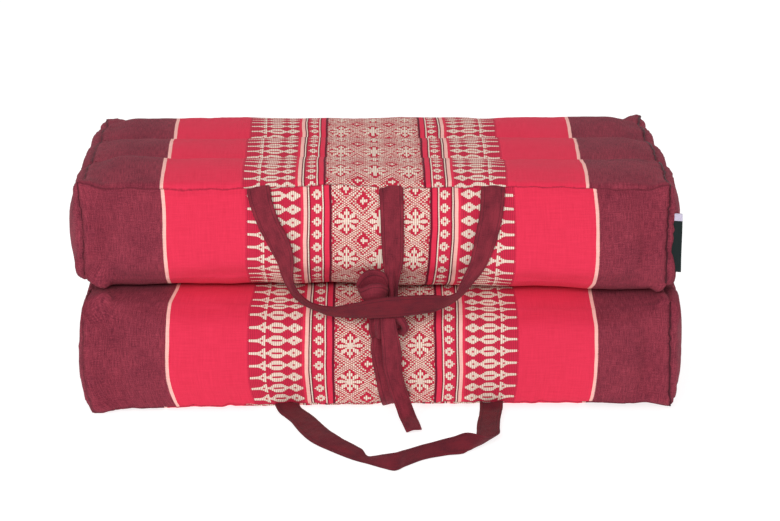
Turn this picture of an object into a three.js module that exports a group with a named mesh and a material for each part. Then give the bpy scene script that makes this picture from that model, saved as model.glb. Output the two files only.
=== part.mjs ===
// A folding floor cushion for meditation, closed: two filled blocks, hinged along the back and laid face
// to face, with two carry handles and a pair of ties knotted across the front.
// Millimetres. +Z is up, +X runs along the cushion and -Y is its open front with the handles and ties.
// The origin is the middle of the flat that the lower block rests on.
import * as THREE from "three";
import { mergeVertices } from "three/addons/utils/BufferGeometryUtils.js";

// The two blocks
const SEAM_LENGTH = 505; // from end seam to end seam
const DEPTH = 295; // from front seam to back seam
const CHANNELS = 3; // sewn channels across the depth
const CONTACT_Z = 107.2; // height at which the two blocks meet
const BLOCK_GAP = 0.4; // left between the two blocks
const UPPER_SEAM_RISE = 93; // from the meeting plane up to the outer seam
const LOWER_SEAM_RISE = 100; // the same downwards on the block that carries the other
const UPPER_RIDGES = [15.5, 12.5, 12.5]; // height of each channel's crest over its seams, front to back
const LOWER_RIDGES = [9.5, 9.5, 9.5]; // the same beneath, before the floor flattens them
const RIDGE_END_SHARE = 0.5; // how much of a ridge is left at the end seam
const FACE_BULGE = 6; // crown of the front and back panels
const UPPER_END_BULGE = 12.5; // crown of the end panels
const LOWER_END_BULGE = 15;
const INNER_RADIUS = 28; // where the cloth turns into the meeting plane
const END_INNER_RADIUS = 11; // the same at the end panels
const SEAM_PULL = 4.5; // how far the end seams draw the long panels in
const SEAM_PULL_REACH = 40;
const CORNER_EAR = 3; // how far a sewn corner pokes out
const CORNER_EAR_REACH = 26;
const LOWER_SEAM_TILT = 3; // the carrying block's seam sags this much at its left end, and less rightwards
const UPPER_SHIFT_X = -5; // the blocks don't lie quite square on each other
const LOWER_SHIFT_X = -1;

// How closely each form keeps to its own part of a block, as powers of a place from 0 to 1
const RIDGE_POWER = 2.3; // a channel's crest, flat on top and narrow at its sewn lines
const FACE_CROWN_POWER = 3; // the long panels' crown over their height
const LONG_PANEL_POWER = 6; // what moves the long panels alone
const END_PANEL_POWER = 60; // what moves the end panels alone
const END_CROWN_DEPTH_POWER = 8; // the end panels' crown over their depth
const END_CROWN_HEIGHT_POWER = 5; // and over their height
const OUTER_FACE_POWER = 5; // what lifts the outer face alone
const LUMP_SQUEEZE = 1.4; // a lump lies along its channel, so it is shorter across it
const EAR_SIDE_SHARE = 0.6; // how far a corner ear pokes out to the front or back, beside its length

// The grid of points on a block
const LENGTH_STEPS = 26;
const STEPS_PER_CHANNEL = 6;
const HEIGHT_STEPS = 8;

// Filling that has shifted: a swelling or a hollow at x, y on the outer face
const UPPER_LUMPS = [
  { x: -215, y: -98, reach: 46, rise: 4 },
  { x: -120, y: -98, reach: 50, rise: -2 },
  { x: 0, y: -98, reach: 60, rise: -1.5 },
  { x: 150, y: -98, reach: 55, rise: -2.5 },
  { x: -60, y: 0, reach: 80, rise: 1.5 },
  { x: 190, y: 0, reach: 60, rise: -2 },
  { x: 215, y: 98, reach: 50, rise: 2 },
];
const LOWER_LUMPS = [
  { x: -200, y: -98, reach: 60, rise: -2 },
  { x: 40, y: -98, reach: 80, rise: 1.5 },
  { x: 180, y: 98, reach: 70, rise: 2 },
];

// Straps
const STRAP_THICKNESS = 2;
const STRAP_STEPS_ACROSS = 2;

// Routes of the straps. Each row is a point of the strap's middle line, its width there, and lean: the
// turn of its face about its own line, in degrees.
const UPPER_HANDLE_ROUTE = [
  { x: -106, y: -150.5, z: 200, lean: 0, width: 20 },
  { x: -104, y: -156.5, z: 190, lean: 8, width: 20 },
  { x: -99, y: -160, z: 177, lean: 28, width: 20 },
  { x: -90, y: -162, z: 153, lean: 36, width: 20 },
  { x: -80, y: -163, z: 125, lean: 40, width: 20 },
  { x: -72.5, y: -164.5, z: 110, lean: 52, width: 20 },
  { x: -66, y: -166, z: 103, lean: 60, width: 20 },
  { x: -55, y: -168, z: 98, lean: 52, width: 20 },
  { x: -35, y: -172, z: 97, lean: 34, width: 20 },
  { x: 0, y: -180, z: 102, lean: 12, width: 20 },
  { x: 36, y: -175, z: 105.5, lean: 16, width: 20 },
  { x: 54, y: -170.5, z: 106, lean: 44, width: 20 },
  { x: 64, y: -167, z: 109, lean: 58, width: 20 },
  { x: 73, y: -164.5, z: 117, lean: 50, width: 20 },
  { x: 84, y: -163, z: 134, lean: 40, width: 20 },
  { x: 91, y: -162, z: 154, lean: 34, width: 20 },
  { x: 95, y: -160, z: 176, lean: 26, width: 20 },
  { x: 96, y: -156.5, z: 190, lean: 8, width: 20 },
  { x: 96, y: -150.5, z: 200, lean: 0, width: 20 },
];
const LOWER_HANDLE_ROUTE = [
  { x: -84, y: -150.5, z: 4.5, lean: 0, width: 20 },
  { x: -82, y: -162, z: 3.4, lean: 6, width: 20 },
  { x: -75, y: -186, z: 4.2, lean: 16, width: 20 },
  { x: -63, y: -213, z: 5.6, lean: 23, width: 20 },
  { x: -51, y: -239, z: 6.8, lean: 30, width: 20 },
  { x: -37, y: -264, z: 8, lean: 40, width: 20 },
  { x: -22, y: -286, z: 9, lean: 46, width: 20 },
  { x: -4, y: -307, z: 8.4, lean: 42, width: 20 },
  { x: 9, y: -313, z: 8, lean: 38, width: 20 },
  { x: 22, y: -303, z: 8, lean: 38, width: 20 },
  { x: 40, y: -285, z: 8, lean: 38, width: 20 },
  { x: 58, y: -275, z: 8.6, lean: 44, width: 20 },
  { x: 71, y: -267, z: 8.8, lean: 45, width: 20 },
  { x: 80, y: -254, z: 7.8, lean: 36, width: 20 },
  { x: 86, y: -234, z: 5, lean: 19, width: 20 },
  { x: 91, y: -207, z: 3.4, lean: 9, width: 20 },
  { x: 96, y: -170, z: 3, lean: 4, width: 20 },
  { x: 97, y: -150.5, z: 4.5, lean: 0, width: 20 },
];
const UPPER_TIE_ROUTE = [
  { x: 9, y: -150.5, z: 200, lean: 0, width: 21 },
  { x: 9.3, y: -156.5, z: 190, lean: 0, width: 20.5 },
  { x: 10, y: -159, z: 172, lean: 0, width: 20 },
  { x: 11.5, y: -159.5, z: 145, lean: 0, width: 17 },
  { x: 11.5, y: -159.5, z: 122, lean: 4, width: 13 },
  { x: 9, y: -159, z: 102, lean: 0, width: 11 },
];
const LOWER_TIE_ROUTE = [
  { x: 20, y: -153, z: 9, lean: 2, width: 20 },
  { x: 15.5, y: -157.5, z: 17, lean: 4, width: 20 },
  { x: 9, y: -159, z: 32, lean: 4, width: 20 },
  { x: 3, y: -159.5, z: 52, lean: 0, width: 18 },
  { x: 0, y: -159, z: 72, lean: 0, width: 14 },
];
const TIE_END_ROUTE = [
  { x: 7, y: -167, z: 73, lean: 0, width: 15 },
  { x: 7.5, y: -166.5, z: 55, lean: 0, width: 16 },
  { x: 9.5, y: -168, z: 38, lean: -4, width: 17 },
  { x: 14, y: -174, z: 22, lean: -8, width: 17.5 },
  { x: 20, y: -184, z: 10, lean: -6, width: 18 },
  { x: 24, y: -197, z: 4.4, lean: 0, width: 18 },
  { x: 26, y: -209, z: 2.6, lean: 0, width: 18 },
];
const BOW_LOOP_ROUTE = [
  { x: -2, y: -158.5, z: 100.5, lean: 0, width: 10 },
  { x: -9, y: -159, z: 106, lean: 0, width: 16 },
  { x: -14, y: -159.5, z: 114, lean: 0, width: 21 },
  { x: -16, y: -164, z: 120, lean: 0, width: 23 },
  { x: -15, y: -169.5, z: 117, lean: 0, width: 23 },
  { x: -10, y: -171.5, z: 110, lean: 0, width: 18 },
  { x: -4, y: -170.5, z: 103, lean: 0, width: 12 },
];

// The knot
const KNOT_CENTRE = [5, -163.5, 87];
const KNOT_RADII = [18, 10.2, 12];
const KNOT_GROOVE = 0.16; // depth of the crease between its two turns, as a share of a radius
const KNOT_GROOVE_WAY = new THREE.Vector3(0.8, 0, -0.6); // square to the crease
const KNOT_GROOVE_REACH = 0.4;
const KNOT_AROUND = 20;
const KNOT_RINGS = 12;

// The cloth hinge in the groove at the back
const HINGE_LENGTH = 470;
const HINGE_THICKNESS = 2;
const HINGE_HALF_HEIGHT = 20;
const HINGE_EDGE_Y = 153.5;
const HINGE_SAG = 9;
const HINGE_STEPS = 12;
const HINGE_CURVE_STEPS = 8;

// The bare loop of woven tape in the right end seam
const TAG_SIZE = [13, 2, 52];
const TAG_CENTRE = [254.9, -147, 150.5];
const TAG_TURN = -20; // degrees about the upright
const TAG_FOLD = 4; // its outer edge is a soft fold of this reach
const TAG_CURVE_STEPS = 4;

const CLOTH_ROUGHNESS = 0.85;
const SAME_POINT = 1e-4; // corners nearer than this are one point

const MAROON = new THREE.Color(0x6d1f2c);
const RED = new THREE.Color(0xc8203a);
const TAPE_GREEN = new THREE.Color(0x14211c);

function clothMaterial(color) {
  return new THREE.MeshStandardMaterial({ color, roughness: CLOTH_ROUGHNESS, metalness: 0 });
}

// Joins the corners that a three.js shape keeps apart for its edges, so the points can be moved
function mergedPoints(shape) {
  shape.deleteAttribute("normal");
  shape.deleteAttribute("uv");
  return mergeVertices(shape, SAME_POINT);
}

function smoothBump(distance, reach) {
  const share = Math.min(Math.abs(distance) / reach, 1);
  return (1 - share * share) ** 2;
}

// Crowds points towards the sewn lines, where the cloth turns sharply
function crowdEnds(share) {
  return (1 - Math.cos(Math.PI * share)) / 2;
}

function acrossChannels(share) {
  const place = share * CHANNELS;
  const channel = Math.min(Math.floor(place), CHANNELS - 1);
  return (channel + crowdEnds(place - channel)) / CHANNELS;
}

// 0 on each sewn line and 1 along each crest
function ridgeShare(across) {
  const place = (((across + 1) / 2) * CHANNELS) % 1;
  return 1 - Math.abs(2 * place - 1) ** RIDGE_POWER;
}

function ridgeRise(ridges, across) {
  const place = ((across + 1) / 2) * CHANNELS;
  const channel = Math.min(Math.floor(place), CHANNELS - 1);
  return ridges[channel] * ridgeShare(across);
}

function lumpRise(lumps, x, y) {
  let rise = 0;
  for (const lump of lumps) {
    const away = Math.hypot(x - lump.x, (y - lump.y) * LUMP_SQUEEZE);
    rise += lump.rise * smoothBump(away, lump.reach);
  }
  return rise;
}

// Turns a square edge into an arc: the point's two distances from the arc's centre are drawn to the radius
function roundEdge(out, up, radius) {
  if (out <= 0 || up <= 0) return [out, up];
  const scale = radius / Math.hypot(out, up);
  return [out * scale, up * scale];
}

// A filled block in its own frame: the meeting face lies at z = 0 and the ridged outer face is above it
function blockGeometry({ seamRise, seamTilt, ridges, lumps, endBulge, flatAt }) {
  const channelSteps = CHANNELS * STEPS_PER_CHANNEL;
  const box = new THREE.BoxGeometry(2, 1, 1, LENGTH_STEPS, channelSteps, HEIGHT_STEPS);
  const geometry = mergedPoints(box);
  const points = geometry.getAttribute("position");
  const halfLength = SEAM_LENGTH / 2;
  const halfDepth = DEPTH / 2;
  for (let i = 0; i < points.count; i++) {
    const along = Math.sin((points.getX(i) * Math.PI) / 2);
    const across = acrossChannels(points.getY(i) + 0.5) * 2 - 1;
    const height = crowdEnds(points.getZ(i) + 0.5);
    let x = along * halfLength;
    let y = across * halfDepth;
    let z = height * (seamRise - seamTilt * along);
    const endNear = smoothBump(halfLength - Math.abs(x), SEAM_PULL_REACH);
    const upShare = 1 - Math.abs(2 * height - 1) ** FACE_CROWN_POWER;

    // The meeting face turns up into the long panels and the end panels
    const [outY, downY] = roundEdge(
      Math.abs(y) - (halfDepth - INNER_RADIUS),
      INNER_RADIUS - z,
      INNER_RADIUS,
    );
    if (downY > 0 && outY > 0) {
      y = Math.sign(y) * (halfDepth - INNER_RADIUS + outY);
      z = INNER_RADIUS - downY;
    }
    const [outX, downX] = roundEdge(
      Math.abs(x) - (halfLength - END_INNER_RADIUS),
      END_INNER_RADIUS - z,
      END_INNER_RADIUS,
    );
    if (downX > 0 && outX > 0) {
      x = Math.sign(x) * (halfLength - END_INNER_RADIUS + outX);
      z = END_INNER_RADIUS - downX;
    }

    // The long panels swell between their seams and the end seams draw them in
    const sidePart = Math.abs(across) ** LONG_PANEL_POWER;
    y += Math.sign(across) * sidePart * (FACE_BULGE * upShare * (1 - endNear) - SEAM_PULL * endNear);

    // The end panels swell past their seam
    const endPart = Math.abs(along) ** END_PANEL_POWER;
    const depthShare = 1 - across ** END_CROWN_DEPTH_POWER;
    const heightShare = 1 - Math.abs(2 * height - 1) ** END_CROWN_HEIGHT_POWER;
    x += Math.sign(along) * endPart * endBulge * Math.sqrt(depthShare * heightShare);

    // The sewn channels, with the filling's own swellings
    const outer = height ** OUTER_FACE_POWER;
    const ridgeKept = 1 - (1 - RIDGE_END_SHARE) * endNear;
    const swelling = lumpRise(lumps, x, y) * (1 - endNear) * ridgeShare(across);
    z += outer * (ridgeRise(ridges, across) + swelling) * ridgeKept;

    // The sewn outer corners poke out as small ears
    const fromCorner = Math.hypot(halfLength - Math.abs(x), halfDepth - Math.abs(y));
    const ear = outer * smoothBump(fromCorner, CORNER_EAR_REACH) * CORNER_EAR;
    x += Math.sign(along) * ear;
    y += Math.sign(across) * ear * EAR_SIDE_SHARE;
    z += ear;

    points.setXYZ(i, x, y, Math.min(z, flatAt));
  }
  return geometry;
}

// A strap: a flat box bent along its route. faceWay gives the way that the strap's face looks for a way
// that it runs, and the route's lean turns it further.
function strapGeometry(route, faceWay, steps) {
  const middle = new THREE.CatmullRomCurve3(
    route.map((row) => new THREE.Vector3(row.x, row.y, row.z)),
    false,
    "centripetal",
  );
  const leanAndWidth = new THREE.CatmullRomCurve3(
    route.map((row) => new THREE.Vector3(row.lean, row.width, 0)),
    false,
    "catmullrom",
    0.5,
  );
  const box = new THREE.BoxGeometry(1, 1, STRAP_THICKNESS, steps, STRAP_STEPS_ACROSS, 1);
  const geometry = mergedPoints(box);
  const points = geometry.getAttribute("position");
  for (let i = 0; i < points.count; i++) {
    const share = Math.min(Math.max(points.getX(i) + 0.5, 0), 1);
    const tangent = middle.getTangent(share);
    const { x: lean, y: width } = leanAndWidth.getPoint(share);
    const face = faceWay(tangent).applyAxisAngle(tangent, THREE.MathUtils.degToRad(lean));
    const widthWay = new THREE.Vector3().crossVectors(face, tangent);
    const place = middle
      .getPoint(share)
      .addScaledVector(widthWay, points.getY(i) * width)
      .addScaledVector(face, points.getZ(i));
    points.setXYZ(i, place.x, place.y, place.z);
  }
  return geometry;
}

function squareTo(way, tangent) {
  return way.clone().addScaledVector(tangent, -way.dot(tangent)).normalize();
}

// A strap whose face keeps looking one way
function facing(way) {
  return (tangent) => squareTo(way, tangent);
}

// A strap that doubles back, so its width keeps one way and its face turns over
function turningAbout(widthWay) {
  return (tangent) => new THREE.Vector3().crossVectors(tangent, squareTo(widthWay, tangent));
}

// The knot: a lump pulled tight, with a crease round its waist between the two turns of strap
function knotGeometry() {
  const ball = new THREE.SphereGeometry(1, KNOT_AROUND, KNOT_RINGS);
  const geometry = mergedPoints(ball);
  const points = geometry.getAttribute("position");
  for (let i = 0; i < points.count; i++) {
    const place = new THREE.Vector3().fromBufferAttribute(points, i);
    const fromGroove = place.dot(KNOT_GROOVE_WAY);
    const crease = 1 - KNOT_GROOVE * smoothBump(fromGroove, KNOT_GROOVE_REACH);
    points.setXYZ(
      i,
      place.x * KNOT_RADII[0] * crease,
      place.y * KNOT_RADII[1] * crease,
      place.z * KNOT_RADII[2] * crease,
    );
  }
  return geometry;
}

// The strip of cloth that hinges the two blocks, dipping into the groove between them
function hingeGeometry() {
  const edge = new THREE.Vector2(HINGE_EDGE_Y, HINGE_HALF_HEIGHT);
  const section = new THREE.Shape();
  section.moveTo(edge.x, -edge.y);
  section.quadraticCurveTo(edge.x - 2 * HINGE_SAG, 0, edge.x, edge.y);
  section.lineTo(edge.x + HINGE_THICKNESS, edge.y);
  section.quadraticCurveTo(edge.x + HINGE_THICKNESS - 2 * HINGE_SAG, 0, edge.x + HINGE_THICKNESS, -edge.y);
  section.closePath();
  const strip = new THREE.ExtrudeGeometry(section, {
    depth: HINGE_LENGTH,
    steps: HINGE_STEPS,
    bevelEnabled: false,
    curveSegments: HINGE_CURVE_STEPS,
  });
  strip.translate(0, 0, -HINGE_LENGTH / 2);
  // The section was drawn as (y, z) and pushed along x
  strip.applyMatrix4(new THREE.Matrix4().set(0, 0, 1, 0, 1, 0, 0, 0, 0, 1, 0, 0, 0, 0, 0, 1));
  return strip;
}

// The side tag: tape folded on itself, with a soft outer fold
function tagGeometry() {
  const [reach, thickness, height] = TAG_SIZE;
  const section = new THREE.Shape();
  section.moveTo(-reach / 2, -thickness / 2);
  section.lineTo(reach / 2 - TAG_FOLD / 2, -thickness / 2);
  section.quadraticCurveTo(reach / 2, -thickness / 2, reach / 2, 0);
  section.quadraticCurveTo(reach / 2, thickness / 2, reach / 2 - TAG_FOLD / 2, thickness / 2);
  section.lineTo(-reach / 2, thickness / 2);
  section.closePath();
  const tape = new THREE.ExtrudeGeometry(section, {
    depth: height,
    steps: 1,
    bevelEnabled: false,
    curveSegments: TAG_CURVE_STEPS,
  });
  tape.translate(0, 0, -height / 2);
  return tape;
}

function addPiece(group, name, geometry, color) {
  const mesh = new THREE.Mesh(geometry, clothMaterial(color));
  mesh.name = name;
  group.add(mesh);
  return mesh;
}

const TOWARDS_FRONT = new THREE.Vector3(0, -1, 0);
const UPWARDS = new THREE.Vector3(0, 0, 1);
const FORWARDS_AND_UP = new THREE.Vector3(0, -1, 1).normalize();
const BOW_WIDTH_WAY = new THREE.Vector3(1, 0, 1).normalize();

const cushion = new THREE.Group();

const upperBlock = new THREE.Group();
upperBlock.position.set(UPPER_SHIFT_X, 0, CONTACT_Z + BLOCK_GAP);
cushion.add(upperBlock);
addPiece(
  upperBlock,
  "upper_block",
  blockGeometry({
    seamRise: UPPER_SEAM_RISE,
    seamTilt: 0,
    ridges: UPPER_RIDGES,
    lumps: UPPER_LUMPS,
    endBulge: UPPER_END_BULGE,
    flatAt: Infinity,
  }),
  RED,
);

// The lower block is turned over, so its ridges are pressed flat by the floor
const lowerBlock = new THREE.Group();
lowerBlock.position.set(LOWER_SHIFT_X, 0, CONTACT_Z);
lowerBlock.rotation.x = Math.PI;
cushion.add(lowerBlock);
addPiece(
  lowerBlock,
  "lower_block",
  blockGeometry({
    seamRise: LOWER_SEAM_RISE,
    seamTilt: LOWER_SEAM_TILT,
    ridges: LOWER_RIDGES,
    lumps: LOWER_LUMPS,
    endBulge: LOWER_END_BULGE,
    flatAt: CONTACT_Z,
  }),
  RED,
);

const hinge = addPiece(cushion, "back_hinge", hingeGeometry(), MAROON);
hinge.position.set((UPPER_SHIFT_X + LOWER_SHIFT_X) / 2, 0, CONTACT_Z + BLOCK_GAP / 2);

const STRAPS = [
  { name: "upper_handle", route: UPPER_HANDLE_ROUTE, faceWay: facing(TOWARDS_FRONT), steps: 48 },
  { name: "lower_handle", route: LOWER_HANDLE_ROUTE, faceWay: facing(UPWARDS), steps: 48 },
  { name: "upper_tie", route: UPPER_TIE_ROUTE, faceWay: facing(TOWARDS_FRONT), steps: 14 },
  { name: "lower_tie", route: LOWER_TIE_ROUTE, faceWay: facing(TOWARDS_FRONT), steps: 12 },
  { name: "tie_end", route: TIE_END_ROUTE, faceWay: facing(FORWARDS_AND_UP), steps: 18 },
  { name: "bow_loop", route: BOW_LOOP_ROUTE, faceWay: turningAbout(BOW_WIDTH_WAY), steps: 20 },
];
for (const strap of STRAPS) {
  addPiece(cushion, strap.name, strapGeometry(strap.route, strap.faceWay, strap.steps), MAROON);
}

const knot = addPiece(cushion, "knot", knotGeometry(), MAROON);
knot.position.set(...KNOT_CENTRE);

const tag = addPiece(cushion, "side_tag", tagGeometry(), TAPE_GREEN);
tag.position.set(...TAG_CENTRE);
tag.rotation.z = THREE.MathUtils.degToRad(TAG_TURN);

export default cushion;
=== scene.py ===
# The looks of a folding meditation cushion, closed: two filled blocks in figured cotton, with their
# handles, knotted ties, hinge and tag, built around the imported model.
import math

import bmesh
import bpy
from mathutils import Matrix, Vector, noise
from mathutils.bvhtree import BVHTree


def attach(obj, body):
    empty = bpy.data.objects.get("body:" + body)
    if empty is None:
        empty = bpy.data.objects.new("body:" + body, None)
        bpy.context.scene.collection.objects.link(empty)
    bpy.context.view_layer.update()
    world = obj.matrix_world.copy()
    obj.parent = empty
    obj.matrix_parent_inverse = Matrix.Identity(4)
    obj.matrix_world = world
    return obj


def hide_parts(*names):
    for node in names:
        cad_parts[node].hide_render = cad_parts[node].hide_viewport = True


MM = 0.001

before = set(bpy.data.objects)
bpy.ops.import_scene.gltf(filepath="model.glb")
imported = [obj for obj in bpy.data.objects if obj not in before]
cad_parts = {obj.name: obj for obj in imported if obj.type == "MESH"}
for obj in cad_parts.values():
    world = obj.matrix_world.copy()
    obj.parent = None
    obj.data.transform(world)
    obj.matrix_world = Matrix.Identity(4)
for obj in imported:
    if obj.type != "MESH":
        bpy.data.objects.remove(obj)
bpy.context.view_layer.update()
scene = bpy.context.scene

# Sizes of the blocks, in millimetres: the solids' plan, with panels a little fuller
SEAM_LENGTH = 505
DEPTH = 295
CHANNELS = 3
CONTACT_Z = 107.2
BLOCK_GAP = 0.4
FACE_BULGE = 8.5
MEETING_EASE = 0.3
SEAM_SET_IN = 2.5
INNER_RADIUS = 28
SEAM_PULL_REACH = 40
CORNER_EAR_REACH = 24
RIDGE_END_SHARE = 0.5
RIDGE_END_REACH = 30
FLOOR_CLEAR = 0.2

# How closely each form keeps to its own part of a block, as powers of a place from 0 to 1
RIDGE_POWER = 2.3
LONG_PANEL_POWER = 6
END_PANEL_POWER = 60
OUTER_FACE_POWER = 5
CROWN_POWER = 3
GIRTH_POWER = 2.5
SEAM_FALL_POWER = 0.6
END_CROWN_DEPTH_POWER = 8
END_CROWN_HEIGHT_POWER = 5
BOW_POWER = 3
LUMP_SQUEEZE = 1.4
EAR_SIDE_SHARE = 0.6

# Grid on a block before it is simulated
LENGTH_STEPS = 120
STEPS_PER_CHANNEL = 12
HEIGHT_STEPS = 16
END_CROWDING = 0.25
SEAM_CROWDING = 0.65
ON_CUBE_FACE = 0.4999
PANEL_OUTER, PANEL_LONG, PANEL_INNER, PANEL_END = range(4)

UPPER = {
    "name": "upper_cover",
    "node": "upper_block",
    "front": -1,
    "shift_x": -5,
    "seam_rise": 93,
    "seam_tilt": 0,
    "ends": {
        -1: {"radius": 22, "bulge": 12.5, "out": 0, "in": 0, "pull": 4.5, "bow": (0.013, -0.012)},
        1: {"radius": 11, "bulge": 12.5, "out": 0, "in": 0, "pull": 4.5, "bow": (0.03, 0.012)},
    },
    "ridges": [11.8, 8.6, 8.4],
    "outer_power": 2.3,
    "lumps": [
        {"x": -215, "y": -98, "reach": 46, "rise": 3},
        {"x": -120, "y": -98, "reach": 50, "rise": -1},
        {"x": 0, "y": -98, "reach": 60, "rise": -1},
        {"x": 165, "y": -98, "reach": 140, "rise": -5},
        {"x": -60, "y": 0, "reach": 80, "rise": 1.5},
        {"x": 190, "y": 0, "reach": 60, "rise": -2},
        {"x": 215, "y": 98, "reach": 50, "rise": 2},
    ],
    "ears": [(-1, -1, 8, 0.7), (1, -1, 3, 1), (-1, 1, 3, 1), (1, 1, 5, 1)],
    "seam_waves": [(-33, 50, 3), (-160, 70, -1.8), (16, 22, -1.6), (215, 60, -2.2)],
    "cloth_pulls": [(30, 110, 5, 2)],
    "field_shift": 0,
    "top_phase": 10,
    "front_phase": -29.5,
    "seed": 3,
}
LOWER = {
    "name": "lower_cover",
    "node": "lower_block",
    "front": 1,
    "shift_x": -1,
    "seam_rise": 102.4,
    "seam_tilt": 1.6,
    "ends": {
        -1: {"radius": 21, "bulge": 3, "out": 6, "in": 6, "pull": 9, "bow": (0.05, 0.05)},
        1: {"radius": 11, "bulge": 13, "out": 0, "in": 0, "pull": 4.5, "bow": (0.018, 0.018)},
    },
    "ridges": [7.5, 7.5, 7.5],
    "outer_power": 1.3,
    "lumps": [
        {"x": -200, "y": -98, "reach": 60, "rise": -2},
        {"x": 40, "y": -98, "reach": 80, "rise": 1.5},
        {"x": 180, "y": 98, "reach": 70, "rise": 2},
    ],
    "ears": [(-1, 1, 7, 0.2), (1, 1, 2.5, 1), (-1, -1, 2, 1), (1, -1, 2, 1)],
    "seam_waves": [(10, 270, 1.8), (-225, 60, -1)],
    "cloth_pulls": [(55, 160, -4, 0)],
    "field_shift": -6.4,
    "top_phase": 4,
    "front_phase": -18.8,
    "seed": 11,
}
# How far the front edges of the meeting faces sag at each distance along the cushion
SAG = [(-262, 2), (-200, 1), (-40, 0), (30, -2), (120, -4.3), (180, -7), (228, -5.5), (262, -2)]
SAG_REACH = 52
SAG_FROM_Y = -95
SAG_FULL_Y = -145

# How the cloth lies on the panels: its middle, its stretch and the length it needs for a turn
TOP_PATTERN_SHIFT = -5.4
TOP_PATTERN_SCALE = 0.985
TOP_CLOTH_SHARE = 1.05
PANEL_TURN = 22
FIELD_SHIFT_FROM = 43
FIELD_SHIFT_OVER = 7
BOW_FULL_FROM = 100

# Cloth simulation of a cover
SIM_FRAMES = 20
SIM_MOST_MOVE = 7
SIM_BLENDS = 4
SEWN_GROUP = "sewn"
SEWN_REACH = 6
PRESSED_HEIGHT = 0.02
PRESSED_DEPTH = 0.85
ON_FLOOR_HEIGHT = 0.99
COVER_CLOTH = {
    "quality": 5,
    "mass": 0.3,
    "tension_stiffness": 20,
    "compression_stiffness": 20,
    "shear_stiffness": 8,
    "bending_stiffness": 0.3,
    "use_pressure": True,
    "uniform_pressure_force": 4,
    "shrink_min": -0.02,
    "vertex_group_mass": SEWN_GROUP,
}

# The sewn seams on a finished cover
GROOVE_DEPTH = 1.3
GROOVE_REACH = 2.4
ROLL_HEIGHT = 0.9
ROLL_PLACE = 5
ROLL_REACH = 3.5
PUCKER_REACH = 13
PINCH_SWELLING = 0.6
PINCH_CREASE = 2.4
NOISE_SEED_STEP = 7.3
PUCKER_SEED = 1
RIPPLE_SEED = 4
WOBBLE_SEED = 6
# Puckers at the outer seam, the end seams and the channel seams, in that order
PUCKERS = [
    {"height": 1.5, "length": 9, "drift": 40},
    {"height": 2.25, "length": 9, "drift": 40},
    {"height": 1.2, "length": 12.6, "drift": 50},
]
# Waves all over the cover: height, length along and length over
RIPPLES = [(1.1, 60, 40), (0.5, 22, 26)]
FLOOR_FACE_HEIGHT = 0.999
FLOOR_FACE_MOST_LIFT = 0.2
SEAM_WOBBLE = 1.3
SEAM_WOBBLE_LENGTH = 13
SEAM_WAVE_REACH = 12
# Painted shade in the seam creases: the weight on the distance to the outer seam, and the farthest distance
# kept
OUTER_SHADE_SHARE = 1.6
SHADE_FAR = 20

# The end panels' rolled seams: radius and wander at the left and the right end
LEFT_ROLL = (0.3, 0.8)
RIGHT_ROLL = (0.75, 1.2)
ROLL_SIDES = 6
ROLL_LIFT = 0.3
ROLL_UNEVEN = 0.5
# Each way that a roll wanders: the length of its waves and its row of the noise
ROLL_SIDEWAYS = (5, 0.3)
ROLL_UPWARDS = (4, 4.3)
ROLL_THICKNESS = (3, 8.1)

# Stitches of the channel seams
STITCH_PITCH = 4.6
STITCH_LENGTH = 2.9
STITCH_RADIUS = 0.42
STITCH_LIFT = 0.2
STITCH_STEPS = (6, 4)

# The photograph's viewpoint
CAMERA_PLACE = (-25.4, -2671.5, 746)
CAMERA_PITCH = 13.6
CAMERA_YAW = 0.75
CAMERA_LENS = 138.1
CAMERA_SENSOR = 36
CAMERA_SIGHT = 50

# The studio, in metres and watts
WORLD_STRENGTH = 0.5
LIGHTS = [
    {"name": "front_soft", "at": (-0.45, -2.4, 1.25), "aim": (0, -0.1, 0.1), "size": (1.6, 1), "power": 39},
    {"name": "left_soft", "at": (-2.3, 0.2, 0.9), "aim": (0, 0, 0.12), "size": (1.2, 1.2), "power": 6},
    {"name": "right_soft", "at": (2.3, 0.1, 0.9), "aim": (0, 0, 0.12), "size": (1.2, 1.2), "power": 8},
    {"name": "top_soft", "at": (0, 1.1, 1.7), "aim": (0, 0, 0.15), "size": (1.6, 1), "power": 6},
]
WHITE = (1, 1, 1, 1)
FLOOR_HALF = 8
FLOOR_LOOK = {
    "Base Color": (0.35, 0.35, 0.35, 1),
    "Roughness": 0.95,
    "Specular IOR Level": 0.1,
    "Emission Color": WHITE,
    "Emission Strength": 0.82,
}


def bump(distance, reach):
    share = min(abs(distance) / reach, 1)
    return (1 - share * share) ** 2


def smooth_step(share):
    share = min(max(share, 0), 1)
    return share * share * (3 - 2 * share)


def crowd(share, amount):
    turned = (1 - math.cos(math.pi * share)) / 2
    return share + (turned - share) * amount


def across_channels(share):
    place = share * CHANNELS
    channel = min(math.floor(place + 1e-6), CHANNELS - 1)
    return (channel + crowd(place - channel, SEAM_CROWDING)) / CHANNELS


def channel_of(across):
    place = (across + 1) / 2 * CHANNELS
    channel = min(math.floor(place), CHANNELS - 1)
    return channel, place - channel


def ridge_share(block, across):
    _, place = channel_of(across)
    power = RIDGE_POWER
    if across * block["front"] > 1 - 1 / CHANNELS:
        power = block["outer_power"]
    return 1 - abs(2 * place - 1) ** power


def ridge_rise(block, across):
    return block["ridges"][channel_of(across)[0]] * ridge_share(block, across)


def between_rows(rows, place):
    """A value between the rows of a short table of (place, value)."""
    for (before, low), (after, high) in zip(rows, rows[1:]):
        if place <= after:
            share = min(max((place - before) / (after - before), 0), 1)
            return low + (high - low) * share
    return rows[-1][1]


def lump_rise(lumps, x, y):
    rise = 0
    for lump in lumps:
        away = math.hypot(x - lump["x"], (y - lump["y"]) * LUMP_SQUEEZE)
        rise += lump["rise"] * bump(away, lump["reach"])
    return rise


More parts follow.
